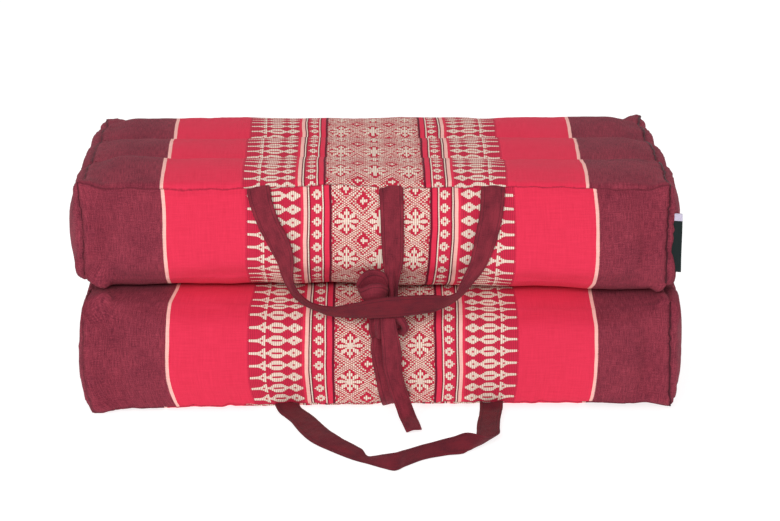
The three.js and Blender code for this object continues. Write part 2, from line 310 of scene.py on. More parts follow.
def round_edge(out, up, radius):
    if out <= 0 or up <= 0:
        return out, up
    scale = radius / math.hypot(out, up)
    return out * scale, up * scale


def turn_to_meeting_face(place, z, half, radius):
    """Rounds a place and its height where the cloth turns into the meeting plane."""
    out, down = round_edge(abs(place) - (half - radius), radius - z, radius)
    if out > 0 and down > 0:
        return math.copysign(half - radius + out, place), radius - down
    return place, z


def falls_to_seam(height, power):
    """1 up to the middle of a panel's height, falling to 0 at its outer seam."""
    return (1 - max(2 * height - 1, 0) ** power) ** SEAM_FALL_POWER


def long_panel_swell(end, height, end_near):
    """The crown of the front and back panels, drawn in beside the end seams and out again at them."""
    up_share = falls_to_seam(height, CROWN_POWER) * smooth_step(height / MEETING_EASE)
    crown = FACE_BULGE * up_share - SEAM_SET_IN
    return abs(crown * (1 - end_near) - end["pull"] * end_near)


def end_panel_swell(end, along, across, height, end_near):
    """The crown of an end panel, and how far the end as a whole stands out or in."""
    crown = (1 - across**END_CROWN_DEPTH_POWER) * (1 - abs(2 * height - 1) ** END_CROWN_HEIGHT_POWER)
    panel = abs(along) ** END_PANEL_POWER * end["bulge"] * math.sqrt(max(0, crown))
    girth = falls_to_seam(height, GIRTH_POWER)
    return panel + end_near * (end["out"] * girth - end["in"] * (1 - girth))


def block_point(block, along, across, height):
    """A point of the cover in the block's own frame, its meeting face at z = 0, in millimetres."""
    half_length = SEAM_LENGTH / 2
    half_depth = DEPTH / 2
    x = along * half_length
    y = across * half_depth
    z = height * (block["seam_rise"] - block["seam_tilt"] * along)
    end_near = bump(half_length - abs(x), SEAM_PULL_REACH)
    ridge_end = bump(half_length - abs(x), RIDGE_END_REACH)
    end = block["ends"][1 if along > 0 else -1]
    y, z = turn_to_meeting_face(y, z, half_depth, INNER_RADIUS)
    x, z = turn_to_meeting_face(x, z, half_length, end["radius"])
    side_part = abs(across) ** LONG_PANEL_POWER
    y += math.copysign(side_part, across) * long_panel_swell(end, height, end_near)
    x += math.copysign(1, along) * end_panel_swell(end, along, across, height, end_near)

    outer = height**OUTER_FACE_POWER
    ridge_kept = 1 - (1 - RIDGE_END_SHARE) * ridge_end
    swelling = lump_rise(block["lumps"], x, y) * (1 - ridge_end) * ridge_share(block, across)
    z += outer * (ridge_rise(block, across) + swelling) * ridge_kept
    for way, side, size, spread in block["ears"]:
        from_corner = math.hypot(half_length - x * way, half_depth - y * side)
        ear = outer * bump(from_corner, CORNER_EAR_REACH) ** 2 * size
        x += ear * way * spread
        y += ear * side * spread * EAR_SIDE_SHARE
        z += ear
    return Vector((x, y, z))


def block_to_world(block):
    """The upper block stands as it is; the lower one is turned over about its length."""
    if block is UPPER:
        return Matrix.Translation((block["shift_x"], 0, CONTACT_Z + BLOCK_GAP))
    return Matrix.Translation((block["shift_x"], 0, CONTACT_Z)) @ Matrix.Rotation(math.pi, 4, "X")


def new_object(name, data):
    piece = bpy.data.objects.new(name, data)
    scene.collection.objects.link(piece)
    return piece


def new_piece(name, bm, *materials):
    """A piece made of a finished bmesh, smooth, with its materials."""
    mesh = bpy.data.meshes.new(name)
    bm.to_mesh(mesh)
    bm.free()
    for material in materials:
        mesh.materials.append(material)
    mesh.polygons.foreach_set("use_smooth", [True] * len(mesh.polygons))
    return new_object(name, mesh)


def lay_cloth(bm, place_of):
    """Keeps each point's place on the flat cloth, in millimetres, as the piece's UVs."""
    cloth = bm.loops.layers.uv.new("cloth")
    for face in bm.faces:
        for loop in face.loops:
            loop[cloth].uv = place_of(loop.vert.co)


def subdivide_live(piece):
    modifier = piece.modifiers.new("finer", "SUBSURF")
    modifier.levels = 1
    modifier.render_levels = 1


def give_body(piece, thickness, offset=0):
    """Gives a sheet its thickness in millimetres and softens its edges."""
    solid = piece.modifiers.new("body", "SOLIDIFY")
    solid.thickness = thickness * MM
    solid.offset = offset
    subdivide_live(piece)
    apply_modifiers(piece)


def apply_modifiers(piece):
    depsgraph = bpy.context.evaluated_depsgraph_get()
    baked = bpy.data.meshes.new_from_object(piece.evaluated_get(depsgraph))
    old = piece.data
    piece.modifiers.clear()
    piece.data = baked
    bpy.data.meshes.remove(old)
    baked.name = piece.name


def cut_along(bm, axis, cuts):
    edges = []
    for edge in bm.edges:
        way = edge.verts[1].co - edge.verts[0].co
        if abs(way[axis]) > 1e-6:
            edges.append(edge)
    bmesh.ops.subdivide_edges(bm, edges=edges, cuts=cuts, use_grid_fill=True)


def panel_of(face):
    middle = face.calc_center_median()
    if abs(middle.x) > ON_CUBE_FACE:
        return PANEL_END
    if middle.z > ON_CUBE_FACE:
        return PANEL_OUTER
    if middle.z < -ON_CUBE_FACE:
        return PANEL_INNER
    return PANEL_LONG


def bowed_place(block, world_x, down):
    """How far along the cloth a place is: the cloth is drawn towards the middle near both its edges."""
    bow = block["ends"][1 if world_x > 0 else -1]["bow"]
    half = block["seam_rise"] / 2
    near_seam = max(1 - down / half, 0) ** BOW_POWER
    near_meeting = min(max((down - half) / (half + PANEL_TURN), 0), 1) ** BOW_POWER
    stretch = bow[0] * near_meeting + bow[1] * near_seam
    way_up = min(down / (2 * half + PANEL_TURN), 1)
    pulled = 0
    for pull_x, reach, most, power in block["cloth_pulls"]:
        pulled += most * bump(world_x - pull_x, reach) * way_up**power
    return world_x * (1 + stretch * min(abs(world_x) / BOW_FULL_FROM, 1)) + pulled


def field_shifted(block, u, v):
    """The starred field's repeat starts elsewhere than the side bands' in each length of cloth."""
    beyond = (abs(u) - FIELD_SHIFT_FROM) / FIELD_SHIFT_OVER
    return u, v + block["field_shift"] * (1 - smooth_step(beyond))


def cloth_place(block, panel, along, across, height):
    """Where a point of the cover lies on its flat panel, in millimetres: along X, then across."""
    world_x = along * SEAM_LENGTH / 2 + block["shift_x"]
    rise = block["seam_rise"]
    if panel == PANEL_OUTER:
        u = (world_x - TOP_PATTERN_SHIFT) / TOP_PATTERN_SCALE
        return u, (across + 1) / 2 * DEPTH * TOP_CLOTH_SHARE + block["top_phase"]
    if panel == PANEL_END:
        return across * DEPTH / 2, height * rise
    down = (1 - height) * rise
    if panel == PANEL_INNER:
        down = rise + (1 - abs(across)) * DEPTH / 2
    return field_shifted(block, bowed_place(block, world_x, down), down + block["front_phase"])


def block_grid(block):
    """The cover's grid, with each point's place on the block kept in attributes and on the cloth in UVs."""
    bm = bmesh.new()
    bmesh.ops.create_cube(bm, size=1)
    cut_along(bm, 0, LENGTH_STEPS - 1)
    cut_along(bm, 1, CHANNELS * STEPS_PER_CHANNEL - 1)
    cut_along(bm, 2, HEIGHT_STEPS - 1)
    along_layer = bm.verts.layers.float.new("along")
    across_layer = bm.verts.layers.float.new("across")
    height_layer = bm.verts.layers.float.new("height")
    cloth = bm.loops.layers.uv.new("cloth")
    for vert in bm.verts:
        t = vert.co.x * 2
        vert[along_layer] = t * (1 + END_CROWDING * (1 - t * t))
        vert[across_layer] = across_channels(vert.co.y + 0.5) * 2 - 1
        vert[height_layer] = crowd(vert.co.z + 0.5, SEAM_CROWDING)
    for face in bm.faces:
        panel = panel_of(face)
        face.material_index = 1 if panel == PANEL_END else 0
        for loop in face.loops:
            vert = loop.vert
            place = cloth_place(block, panel, vert[along_layer], vert[across_layer], vert[height_layer])
            loop[cloth].uv = place
    to_world = block_to_world(block)
    for vert in bm.verts:
        point = block_point(block, vert[along_layer], vert[across_layer], vert[height_layer])
        vert.co = (to_world @ point) * MM
    return bm


def seam_distances(block, along, across, height):
    """Distances in millimetres from a point to the outer seam, the end seam and the channel seams."""
    half_length = SEAM_LENGTH / 2
    half_depth = DEPTH / 2
    from_side = (1 - abs(across)) * half_depth
    from_top = (1 - height) * block["seam_rise"]
    from_inner = height * block["seam_rise"]
    from_end = (1 - abs(along)) * half_length
    outer = math.hypot(from_side, from_top)
    end = math.hypot(from_end, min(from_side, from_top, from_inner))
    channel = math.hypot(abs(abs(across) - 1 / CHANNELS) * half_depth, from_top)
    return outer, end, channel


def pin_weights(block, piece):
    """Holds the seams and the faces that the blocks press on; the panels between them are free."""
    group = piece.vertex_groups.new(name=SEWN_GROUP)
    for index, (along, across, height) in enumerate(point_places(piece.data)):
        outer, end, channel = seam_distances(block, along, across, height)
        held = bump(min(outer, end, channel), SEWN_REACH)
        pressed = height < PRESSED_HEIGHT and abs(across) < PRESSED_DEPTH
        pressed = pressed or (block is LOWER and height > ON_FLOOR_HEIGHT)
        group.add([index], 1 if pressed else held, "REPLACE")


def point_places(mesh):
    columns = []
    for name in ("along", "across", "height"):
        values = [0.0] * len(mesh.vertices)
        mesh.attributes[name].data.foreach_get("value", values)
        columns.append(values)
    return list(zip(*columns))


def simulate_cover(block, piece):
    """Fills the cover: pressure swells the panels between the held seams, and each move is capped."""
    start = [vert.co.copy() for vert in piece.data.vertices]
    pin_weights(block, piece)
    modifier = piece.modifiers.new("filling", "CLOTH")
    for setting, value in COVER_CLOTH.items():
        setattr(modifier.settings, setting, value)
    modifier.settings.effector_weights.gravity = 0
    modifier.collision_settings.use_self_collision = False
    for step in range(1, SIM_FRAMES + 1):
        scene.frame_set(step)
    apply_modifiers(piece)
    scene.frame_set(1)
    most = SIM_MOST_MOVE * MM
    moves = []
    for vert, before in zip(piece.data.vertices, start):
        move = vert.co - before
        moves.append(move / math.sqrt(1 + (move.length / most) ** 2))
    for vert, before, move in zip(piece.data.vertices, start, even_out(piece.data, moves)):
        vert.co = before + move
    piece.vertex_groups.clear()


def even_out(mesh, moves):
    """Blends each point's move with those of its neighbours, so that no kink is left."""
    edges = [tuple(edge.vertices) for edge in mesh.edges]
    for _ in range(SIM_BLENDS):
        sums = [move.copy() for move in moves]
        counts = [1] * len(moves)
        for a, b in edges:
            sums[a] += moves[b]
            sums[b] += moves[a]
            counts[a] += 1
            counts[b] += 1
        moves = [total / count for total, count in zip(sums, counts)]
    return moves


def wrinkle(place, seed):
    return noise.noise(Vector((place[0], place[1], seed * NOISE_SEED_STEP)))


def pinch(place, seed):
    """Sharp creases between round swellings, as gathered cloth has beside a seam."""
    return PINCH_SWELLING - PINCH_CREASE * abs(wrinkle(place, seed))


def seam_lift(seed, x, girth, distances):
    """How far the cloth stands out at a point: seam grooves, rolled cloth beside them and puckers."""
    near = min(distances[0], distances[1])
    lift = ROLL_HEIGHT * math.exp(-(((near - ROLL_PLACE) / ROLL_REACH) ** 2))
    lift -= GROOVE_DEPTH * math.exp(-((near / GROOVE_REACH) ** 2))
    for index, (pucker, distance, travel) in enumerate(zip(PUCKERS, distances, (x, girth, x))):
        place = (travel / pucker["length"], distance / pucker["drift"])
        gathered = pinch(place, seed + PUCKER_SEED + index)
        lift += pucker["height"] * gathered * math.exp(-distance / PUCKER_REACH)
    for index, (height, length_along, length_over) in enumerate(RIPPLES):
        lift += height * wrinkle((x / length_along, girth / length_over), seed + RIPPLE_SEED + index)
    return lift


def front_seam_wave(block, x):
    """How far the front seam waves up or down at a place along it."""
    wave = SEAM_WOBBLE * wrinkle((x / SEAM_WOBBLE_LENGTH, 0.5), block["seed"] + WOBBLE_SEED)
    for place, reach, rise in block["seam_waves"]:
        wave += rise * bump(x - place, reach)
    return wave


def sew_seams(block, piece):
    """Presses each seam's groove, rolls the cloth over beside it and gathers it into puckers."""
    mesh = piece.data
    places = point_places(mesh)
    normals = [vert.normal.copy() for vert in mesh.vertices]
    shades = []
    for vert, normal, (along, across, height) in zip(mesh.vertices, normals, places):
        distances = seam_distances(block, along, across, height)
        outer, end, _ = distances
        x = along * SEAM_LENGTH / 2
        girth = across * DEPTH / 2 + height * block["seam_rise"]
        lift = seam_lift(block["seed"], x, girth, distances)
        if block is LOWER and height > FLOOR_FACE_HEIGHT:
            lift = min(lift, FLOOR_FACE_MOST_LIFT)
        vert.co += normal * lift * MM
        if across * block["front"] > 0:
            vert.co.z += front_seam_wave(block, x) * math.exp(-outer / SEAM_WAVE_REACH) * MM
        # distance to the nearest seam, which the materials use for painted shade in the crease
        shades.append(min(outer * OUTER_SHADE_SHARE, end, SHADE_FAR))
    layer = mesh.attributes.new("seam_mm", "FLOAT", "POINT")
    layer.data.foreach_set("value", shades)


def keep_clear(block, piece):
    """Keeps the meeting faces apart and the lower cover flat on the floor."""
    for vert in piece.data.vertices:
        if block is UPPER:
            vert.co.z = max(vert.co.z, (CONTACT_Z + BLOCK_GAP) * MM)
        else:
            vert.co.z = min(max(vert.co.z, FLOOR_CLEAR * MM), CONTACT_Z * MM)


def keep_off_floor(piece):
    for vert in piece.data.vertices:
        vert.co.z = max(vert.co.z, FLOOR_CLEAR * MM)


def sag_front(piece):
    """Lets the front edges of the meeting faces sag together, so that the gap between them stays."""
    for vert in piece.data.vertices:
        x, y, z = vert.co / MM
        forward = smooth_step((SAG_FROM_Y - y) / (SAG_FROM_Y - SAG_FULL_Y))
        vert.co.z += between_rows(SAG, x) * forward * bump(z - CONTACT_Z, SAG_REACH) * MM


def make_cover(block, materials):
    piece = new_piece(block["name"], block_grid(block), *materials)
    simulate_cover(block, piece)
    subdivide_live(piece)
    apply_modifiers(piece)
    sew_seams(block, piece)
    keep_clear(block, piece)
    sag_front(piece)
    return piece


# Shader nodes written as formulas
class Signal:
    """A socket in a node tree that takes part in sums."""

    def __init__(self, tree, socket):
        self.tree = tree
        self.socket = socket

    def math(self, operation, *others):
        node = self.tree.nodes.new("ShaderNodeMath")
        node.operation = operation
        for slot, value in enumerate((self, *others)):
            if isinstance(value, Signal):
                self.tree.links.new(value.socket, node.inputs[slot])
            else:
                node.inputs[slot].default_value = value
        return Signal(self.tree, node.outputs[0])

    def __add__(self, other):
        return self.math("ADD", other)

    def __sub__(self, other):
        return self.math("SUBTRACT", other)

    def __mul__(self, other):
        return self.math("MULTIPLY", other)

    def __truediv__(self, other):
        return self.math("DIVIDE", other)

    def abs(self):
        return self.math("ABSOLUTE")

    def floor(self):
        return self.math("FLOOR")

    def most(self, other):
        return self.math("MAXIMUM", other)

    def below(self, limit):
        return self.math("LESS_THAN", limit)

    def above(self, limit):
        return self.math("GREATER_THAN", limit)

    def wrap(self, period):
        return self.math("WRAP", period / 2, -period / 2)

    def clamp(self):
        return self.math("MAXIMUM", 0.0).math("MINIMUM", 1.0)

    def invert(self):
        return self.math("MULTIPLY_ADD", -1.0, 1.0)


def new_group(name, inputs, outputs):
    """A shader node group with its named inputs and outputs, ready to be filled."""
    group = bpy.data.node_groups.new(name, "ShaderNodeTree")
    for label, kind, value in inputs:
        socket = group.interface.new_socket(label, in_out="INPUT", socket_type=kind)
        if value is not None:
            socket.default_value = value
    for label, kind in outputs:
        group.interface.new_socket(label, in_out="OUTPUT", socket_type=kind)
    entry = group.nodes.new("NodeGroupInput")
    leave = group.nodes.new("NodeGroupOutput")
    return group, entry, leave


def split_cloth(tree, vector):
    node = tree.nodes.new("ShaderNodeSeparateXYZ")
    tree.links.new(vector, node.inputs[0])
    return Signal(tree, node.outputs[0]), Signal(tree, node.outputs[1])


def ramp(tree, value, low, high, stops, interpolation):
    """A colour ramp over low to high; stops are (place, colour)."""
    node = tree.nodes.new("ShaderNodeValToRGB")
    node.color_ramp.interpolation = interpolation
    elements = node.color_ramp.elements
    while len(elements) > 1:
        elements.remove(elements[-1])
    for index, (place, colour) in enumerate(stops):
        share = (place - low) / (high - low)
        element = elements[0] if index == 0 else elements.new(share)
        element.position = share
        element.color = (*colour, 1)
    scaled = (value - low) / (high - low)
    tree.links.new(scaled.socket, node.inputs[0])
    return node.outputs[0]


def noise_at(tree, vector, scale, detail, stretch):
    mapping = tree.nodes.new("ShaderNodeMapping")
    mapping.inputs["Scale"].default_value = (stretch[0], stretch[1], 1)
    tree.links.new(vector, mapping.inputs["Vector"])
    node = tree.nodes.new("ShaderNodeTexNoise")
    node.inputs["Scale"].default_value = scale
    node.inputs["Detail"].default_value = detail
    tree.links.new(mapping.outputs[0], node.inputs["Vector"])
    return Signal(tree, node.outputs["Fac"])


def mix_colour(tree, mask, first, second, mode="MIX"):
    node = tree.nodes.new("ShaderNodeMix")
    node.data_type = "RGBA"
    node.blend_type = mode
    for slot, value in (("Factor", mask), ("A", first), ("B", second)):
        sockets = [s for s in node.inputs if s.name == slot and s.enabled]
        socket = sockets[0]
        if isinstance(value, Signal):
            tree.links.new(value.socket, socket)
        elif hasattr(value, "is_linked"):
            tree.links.new(value, socket)
        elif slot == "Factor":
            socket.default_value = value
        else:
            socket.default_value = (*value, 1)
    return [s for s in node.outputs if s.enabled][0]


def rgb(red, green, blue):
    """A colour given as it looks on a screen, 0 to 255, as linear light."""
    out = []
    for value in (red, green, blue):
        share = value / 255
        out.append(share / 12.92 if share <= 0.04045 else ((share + 0.055) / 1.055) ** 2.4)
    return tuple(out)


# Colours of the cloth
BRIGHT_RED = rgb(226, 52, 82)
DEEP_RED = rgb(186, 26, 52)
GROUND_RED = rgb(206, 44, 74)
FIELD_RED = rgb(204, 40, 68)
CREAM = rgb(243, 235, 217)
CREAM_GAP = rgb(192, 108, 102)
PALE_PINK = rgb(250, 192, 182)
WINE = rgb(158, 62, 78)
BLUISH_WINE = rgb(94, 30, 46)
DARK_WINE = rgb(104, 24, 44)
STRAP_WINE = rgb(134, 42, 56)
# Painted shade: a darker strap colour, for the lower handle and for the upper handle's run
STRAP_WINE_PAINTED_SHADE = rgb(110, 30, 41)
STRAP_SHADE = rgb(80, 24, 36)
ROLL_WINE = rgb(62, 20, 30)
THREAD_RED = rgb(112, 26, 42)
TAG_DARK = rgb(22, 34, 34)
TAG_PALE = rgb(206, 198, 220)

# Half-widths of the cloth's bands from its middle, in millimetres
FIELD_HALF = 42.6
CHAIN_INNER = 50.7
CHAIN_OUTER = 60.4
SPINDLE_INNER = 69.3
SPINDLE_OUTER = 116.4
RED_OUTER = 184.3
PALE_OUTER = 187.8
CORD_MIDDLE = 56
CORD_HALF = 7.2
BAND_STOPS = [
    (0, FIELD_RED),
    (FIELD_HALF, DARK_WINE),
    (43.7, BRIGHT_RED),
    (48.2, DARK_WINE),
    (49.1, CREAM),
    (CHAIN_INNER, GROUND_RED),
    (CHAIN_OUTER, DARK_WINE),
    (61.2, CREAM),
    (62.8, DARK_WINE),
    (63.9, PALE_PINK),
    (67, BRIGHT_RED),
    (SPINDLE_INNER, GROUND_RED),
    (SPINDLE_OUTER, BRIGHT_RED),
    (RED_OUTER, PALE_PINK),
    (PALE_OUTER, WINE),
]
BAND_END = 260

# Half-heights of the motifs in the side bands, at half-widths from the cloth's middle
MOTIF_HEIGHTS = [
    (0, 0),
    (51.0, 0.0),
    (52.0, 1.5),
    (55.2, 4.6),
    (58.4, 1.5),
    (59.6, 0.0),
    (69.4, 0.7),
    (71.0, 1.5),
    (76.2, 4.6),
    (80.2, 1.8),
    (81.4, 0.9),
    (83.0, 1.3),
    (87.4, 4.4),
    (94.0, 4.4),
    (98.4, 1.2),
    (100.6, 0.9),
    (101.0, 4.6),
    (102.6, 4.4),
    (103.4, 2.9),
    (107.2, 1.3),
    (115.4, 1.0),
    (115.8, 0),
]
MOTIF_MOST = 5
MOTIF_END = 130
MOTIF_PITCH = 11.2
# Open eyes in the motifs: each one's place and half-width, and the height that they share
EYES = [(55.2, 0.9), (76.2, 0.9), (90.6, 4.4), (103.6, 0.9)]
EYE_HALF_HEIGHT = 0.8

# Pitch of the cloth's floats, and how far out of a float's middle its thread ends
FLOAT_PITCH = 1.62
FLOAT_GAP = 0.33

# The starred field in the middle: sizes in millimetres, the rest as shares of a star or a lozenge
STAR_PITCH_U = 30
STAR_PITCH_V = 33.6
STAR_RADIUS_U = 11.4
STAR_RADIUS_V = 11
STAR_STEP = 0.56
STAR_PETALS = 8
PETAL_REACH = 0.98
PETAL_TAPER = 0.44
PETAL_SLIT_EDGE = 0.7
PETAL_SLIT_START = 0.3
CROSS_BARS = [(1, 2.8), (3.2, 0.9)]
LOZENGE_HALF_U = 6.2
LOZENGE_HALF_V = 7.4
LOZENGE_RING = 1.2
LOZENGE_RING_HALF = 0.16
LOZENGE_CLEAR = 1.04
LATTICE_HALF = 0.17
DASH_PITCH = 2.1
DASH_SHARE = 0.62
SPARSE_PITCH = 3.15
SPARSE_SHARE = 0.42
NEAR_STAR = (0.86, 1.1)
BEYOND_LATTICE = (1.15, 1.36)

# How the woven repeat drifts on the cloth: the drift along and over, and its two stretches
DRIFT_ALONG = 3.2
DRIFT_OVER = 4.5
DRIFT_STRETCHES = ((0.012, 0.02), (0.02, 0.012))
GAP_SHADE = 0.75
WORN_SHADE = 0.4
WORN_MIDDLE = 0.4
WORN_STRETCH = (1.1, 0.5)
GROUND_GAP_SHADE = 0.4
CORD_PITCH = 1.3
CORD_SHARE = 0.35
SLUB_SHADE = 0.35
SLUB_MIDDLE = 0.75
SLUB_STRETCHES = ((1, 0.05), (0.05, 1))
FLOAT_HEIGHT = 0.5

# Plain weave: thread pitch in millimetres, and the weave's faults, each noise with its weights
THREAD_PITCH = 0.9
THREAD_HEIGHT = 0.3
MOTTLE_MIDDLE = 0.48
WEAVE_FAULTS = [
    {"detail": 4, "stretch": (1.3, 0.11), "mottle": 1.5, "height": 0.6},
    {"detail": 4, "stretch": (0.11, 1.3), "mottle": 0.9, "height": 0.6},
    {"detail": 2, "stretch": (1.2, 1.2), "mottle": 1.5, "height": 0.6},
    {"detail": 2, "stretch": (0.03, 0.03), "mottle": 0.7, "height": 0},
]
CLOTH_SPECULAR = 0.12
CLOTH_SHEEN_ROUGHNESS = 0.5

# How deep each cloth's relief is, in millimetres
FIGURED_RELIEF = 0.3
WINE_RELIEF = 0.35
STRAP_RELIEF = 0.4
THREAD_RELIEF = 0.2
TAG_RELIEF = 0.15

# Painted shade in a sewn crease
SEAM_SHADE = 0.5
SEAM_SHADE_REACH = 2.2
SEAM_SHADE_RAGGED = 4

# The straps' cloth: hems and edges with painted shade along them, mottle, and the stretch of the upper
# handle that has painted shade
HEM_PLACE = 6.9
HEM_HALF = 0.3
HEM_SHADE = 0.5
HEM_STEP = 0.5
STRAP_THREAD_HEIGHT = 0.6
STRAP_EDGE_FROM = 9.5
STRAP_EDGE_SHADE = 0.35
STRAP_MOTTLE = 0.7
STRAP_PATCHES = 1.5
STRAP_PATCH_STRETCH = (0.12, 0.06)
# Painted shade on the upper handle's run: how far it eases in at each end, and the stretch along the strap
# that it covers
PAINTED_SHADE_EASE = 22
HANDLE_PAINTED_SHADE_STRETCH = (85, 256)

# The twist of the sewing thread and of the rolled seams' cloth
TWIST_SCALE = 900
TWIST_FROM = 0.3
TWIST_SHADE = 0.8

# The tag's tape
TAG_PALE_FROM = 19.5
TAG_FRAY_STRETCH = (1.5, 0.4)
TAG_FRAY = 0.4
TAG_PALE_LEAST = 0.7
TAG_RIB_PITCH = 0.8
TAG_RIB_HEIGHT = 0.5
TAG_CORD_PITCH = 0.6
TAG_CORD_HEIGHT = 0.2


def star_mask(star_u, star_v):
    """Mask of an eight-petalled star with slit petals, and its radius as a share of the star's own."""
    share_u = star_u / STAR_RADIUS_U
    share_v = star_v / STAR_RADIUS_V
    radius = (share_u * share_u + share_v * share_v).math("SQRT")
    turn = share_v.math("ARCTAN2", share_u)
    off_petal = turn.wrap(math.tau / STAR_PETALS).abs() / (math.tau / STAR_PETALS / 2)
    star = radius.below(off_petal * -PETAL_TAPER + PETAL_REACH)
    slit = off_petal.above(PETAL_SLIT_EDGE) * radius.above(PETAL_SLIT_START)
    return star * slit.invert(), radius


def star_field(column, v):
    """Mask of the cream floats in the middle field: eight-petalled stars in a dotted lozenge trellis."""
    cell_u = (column + 0.5) * FLOAT_PITCH
    fine_v = ((v / STAR_STEP).floor() + 0.5) * STAR_STEP
    star_u = cell_u.wrap(STAR_PITCH_U).abs()
    star_v = fine_v.wrap(STAR_PITCH_V).abs()
    star, radius = star_mask(star_u, star_v)

    between_u = (cell_u + STAR_PITCH_U / 2).wrap(STAR_PITCH_U).abs()
    between_v = (fine_v + STAR_PITCH_V / 2).wrap(STAR_PITCH_V).abs()
    lozenge = between_u / LOZENGE_HALF_U + between_v / LOZENGE_HALF_V
    upright, level = [between_u.below(half_u) * between_v.below(half_v) for half_u, half_v in CROSS_BARS]

    odd = column.math("FLOORED_MODULO", 2)
    dash = (v / DASH_PITCH + odd * 0.5).math("FRACT").below(DASH_SHARE)
    sparse = (v / SPARSE_PITCH + odd * 0.5).math("FRACT").below(SPARSE_SHARE)
    trellis = star_u / (STAR_PITCH_U / 2) + star_v / (STAR_PITCH_V / 2)
    lattice = (trellis - 1).abs().below(LATTICE_HALF)
    ring = (lozenge - LOZENGE_RING).abs().below(LOZENGE_RING_HALF)
    around = trellis.below(NEAR_STAR[0]) * radius.above(NEAR_STAR[1])
    beyond = trellis.above(BEYOND_LATTICE[0]) * lozenge.above(BEYOND_LATTICE[1])
    filled = dash * lattice.most(ring) * lozenge.above(LOZENGE_CLEAR)
    filled = filled.most(sparse * around.most(beyond))
    return star.most(filled).most(upright.most(level))


def side_motifs(tree, away, column, v):
    """Mask of the cream motifs in the side bands: rows of floats of different heights, with open eyes."""
    cell_u = (column + 0.5) * FLOAT_PITCH
    stops = [(place, (high / MOTIF_MOST,) * 3) for place, high in MOTIF_HEIGHTS]
    high = Signal(tree, ramp(tree, cell_u, 0, MOTIF_END, stops, "LINEAR")) * MOTIF_MOST
    from_middle = v.wrap(MOTIF_PITCH).abs()
    open_eyes = [(away - place).abs().below(half) for place, half in EYES]
    eyes = open_eyes[0]
    for eye in open_eyes[1:]:
        eyes = eyes.most(eye)
    return from_middle.below(high) * (eyes * from_middle.below(EYE_HALF_HEIGHT)).invert()


def figured_cloth_group():
    """Node group for the figured cotton: its colours and how far its floats stand up."""
    group, entry, leave = new_group(
        "figured_cloth",
        [("Cloth", "NodeSocketVector", None)],
        [("Color", "NodeSocketColor"), ("Float", "NodeSocketFloat")],
    )
    cloth = entry.outputs["Cloth"]
    u, v = split_cloth(group, cloth)
    along, over = [noise_at(group, cloth, 1, 2, stretch) - 0.5 for stretch in DRIFT_STRETCHES]
    away = (u + along * DRIFT_ALONG).abs()
    v = v + over * DRIFT_OVER
    column = (away / FLOAT_PITCH).floor()
    between = ((away / FLOAT_PITCH).math("FRACT") - 0.5).abs().above(FLOAT_GAP)
    in_field = away.below(FIELD_HALF)
    in_chain = away.above(CHAIN_INNER) * away.below(CHAIN_OUTER)
    in_spindles = away.above(SPINDLE_INNER) * away.below(SPINDLE_OUTER)
    stars = star_field(column, v) * in_field
    floats = stars.most(side_motifs(group, away, column, v) * in_chain.most(in_spindles))

    worn = noise_at(group, cloth, 1, 3, WORN_STRETCH)
    gap_shade = between * GAP_SHADE + (worn - WORN_MIDDLE) * WORN_SHADE
    cream = mix_colour(group, gap_shade, CREAM, CREAM_GAP)
    ground = ramp(group, away, 0, BAND_END, BAND_STOPS, "CONSTANT")
    figured = in_field.most(in_spindles)
    ground = mix_colour(group, between * figured * GROUND_GAP_SHADE, ground, DARK_WINE)
    corded = (v / CORD_PITCH).math("FRACT").below(CORD_SHARE)
    corded = corded * (away - CORD_MIDDLE).abs().below(CORD_HALF) * in_chain.invert()
    ground = mix_colour(group, corded * CORD_SHARE, ground, DEEP_RED)
    colour = mix_colour(group, floats, ground, cream)
    across_slubs, along_slubs = [noise_at(group, cloth, 1, 3, stretch) for stretch in SLUB_STRETCHES]
    slubs = across_slubs + along_slubs
    colour = mix_colour(group, (slubs - SLUB_MIDDLE) * SLUB_SHADE, colour, DEEP_RED, "MULTIPLY")
    group.links.new(colour, leave.inputs["Color"])
    group.links.new(floats.socket, leave.inputs["Float"])
    return group


def weave_group():
    """Node group for a plain weave: crossing threads with slubs, as a height and a 0 to 1 mottle."""
    group, entry, leave = new_group(
        "plain_weave",
        [("Cloth", "NodeSocketVector", None)],
        [("Height", "NodeSocketFloat"), ("Mottle", "NodeSocketFloat")],
    )
    cloth = entry.outputs["Cloth"]
    u, v = split_cloth(group, cloth)
    warp = (u * (math.tau / THREAD_PITCH)).math("SINE")
    weft = (v * (math.tau / THREAD_PITCH)).math("SINE")
    height = warp * weft * THREAD_HEIGHT + THREAD_HEIGHT
    mottle = None
    for fault in WEAVE_FAULTS:
        uneven = noise_at(group, cloth, 1, fault["detail"], fault["stretch"]) - 0.5
        height = height + uneven * fault["height"]
        part = uneven * fault["mottle"]
        mottle = part + MOTTLE_MIDDLE if mottle is None else mottle + part
    group.links.new(height.socket, leave.inputs["Height"])
    group.links.new(mottle.clamp().socket, leave.inputs["Mottle"])
    return group


def cloth_material(name, roughness, sheen):
    material = bpy.data.materials.new(name)
    material.use_nodes = True
    tree = material.node_tree
    shader = tree.nodes["Principled BSDF"]
    shader.inputs["Roughness"].default_value = roughness
    shader.inputs["Sheen Weight"].default_value = sheen
    shader.inputs["Sheen Roughness"].default_value = CLOTH_SHEEN_ROUGHNESS
    shader.inputs["Specular IOR Level"].default_value = CLOTH_SPECULAR
    place = tree.nodes.new("ShaderNodeUVMap")
    place.uv_map = "cloth"
    return material, tree, shader, place.outputs[0]


def use_group(tree, group, vector):
    node = tree.nodes.new("ShaderNodeGroup")
    node.node_tree = group
    tree.links.new(vector, node.inputs["Cloth"])
    return node


def add_bump(tree, shader, height, distance):
    node = tree.nodes.new("ShaderNodeBump")
    node.inputs["Strength"].default_value = 1
    node.inputs["Distance"].default_value = distance * MM
    tree.links.new(height.socket, node.inputs["Height"])
    tree.links.new(node.outputs[0], shader.inputs["Normal"])


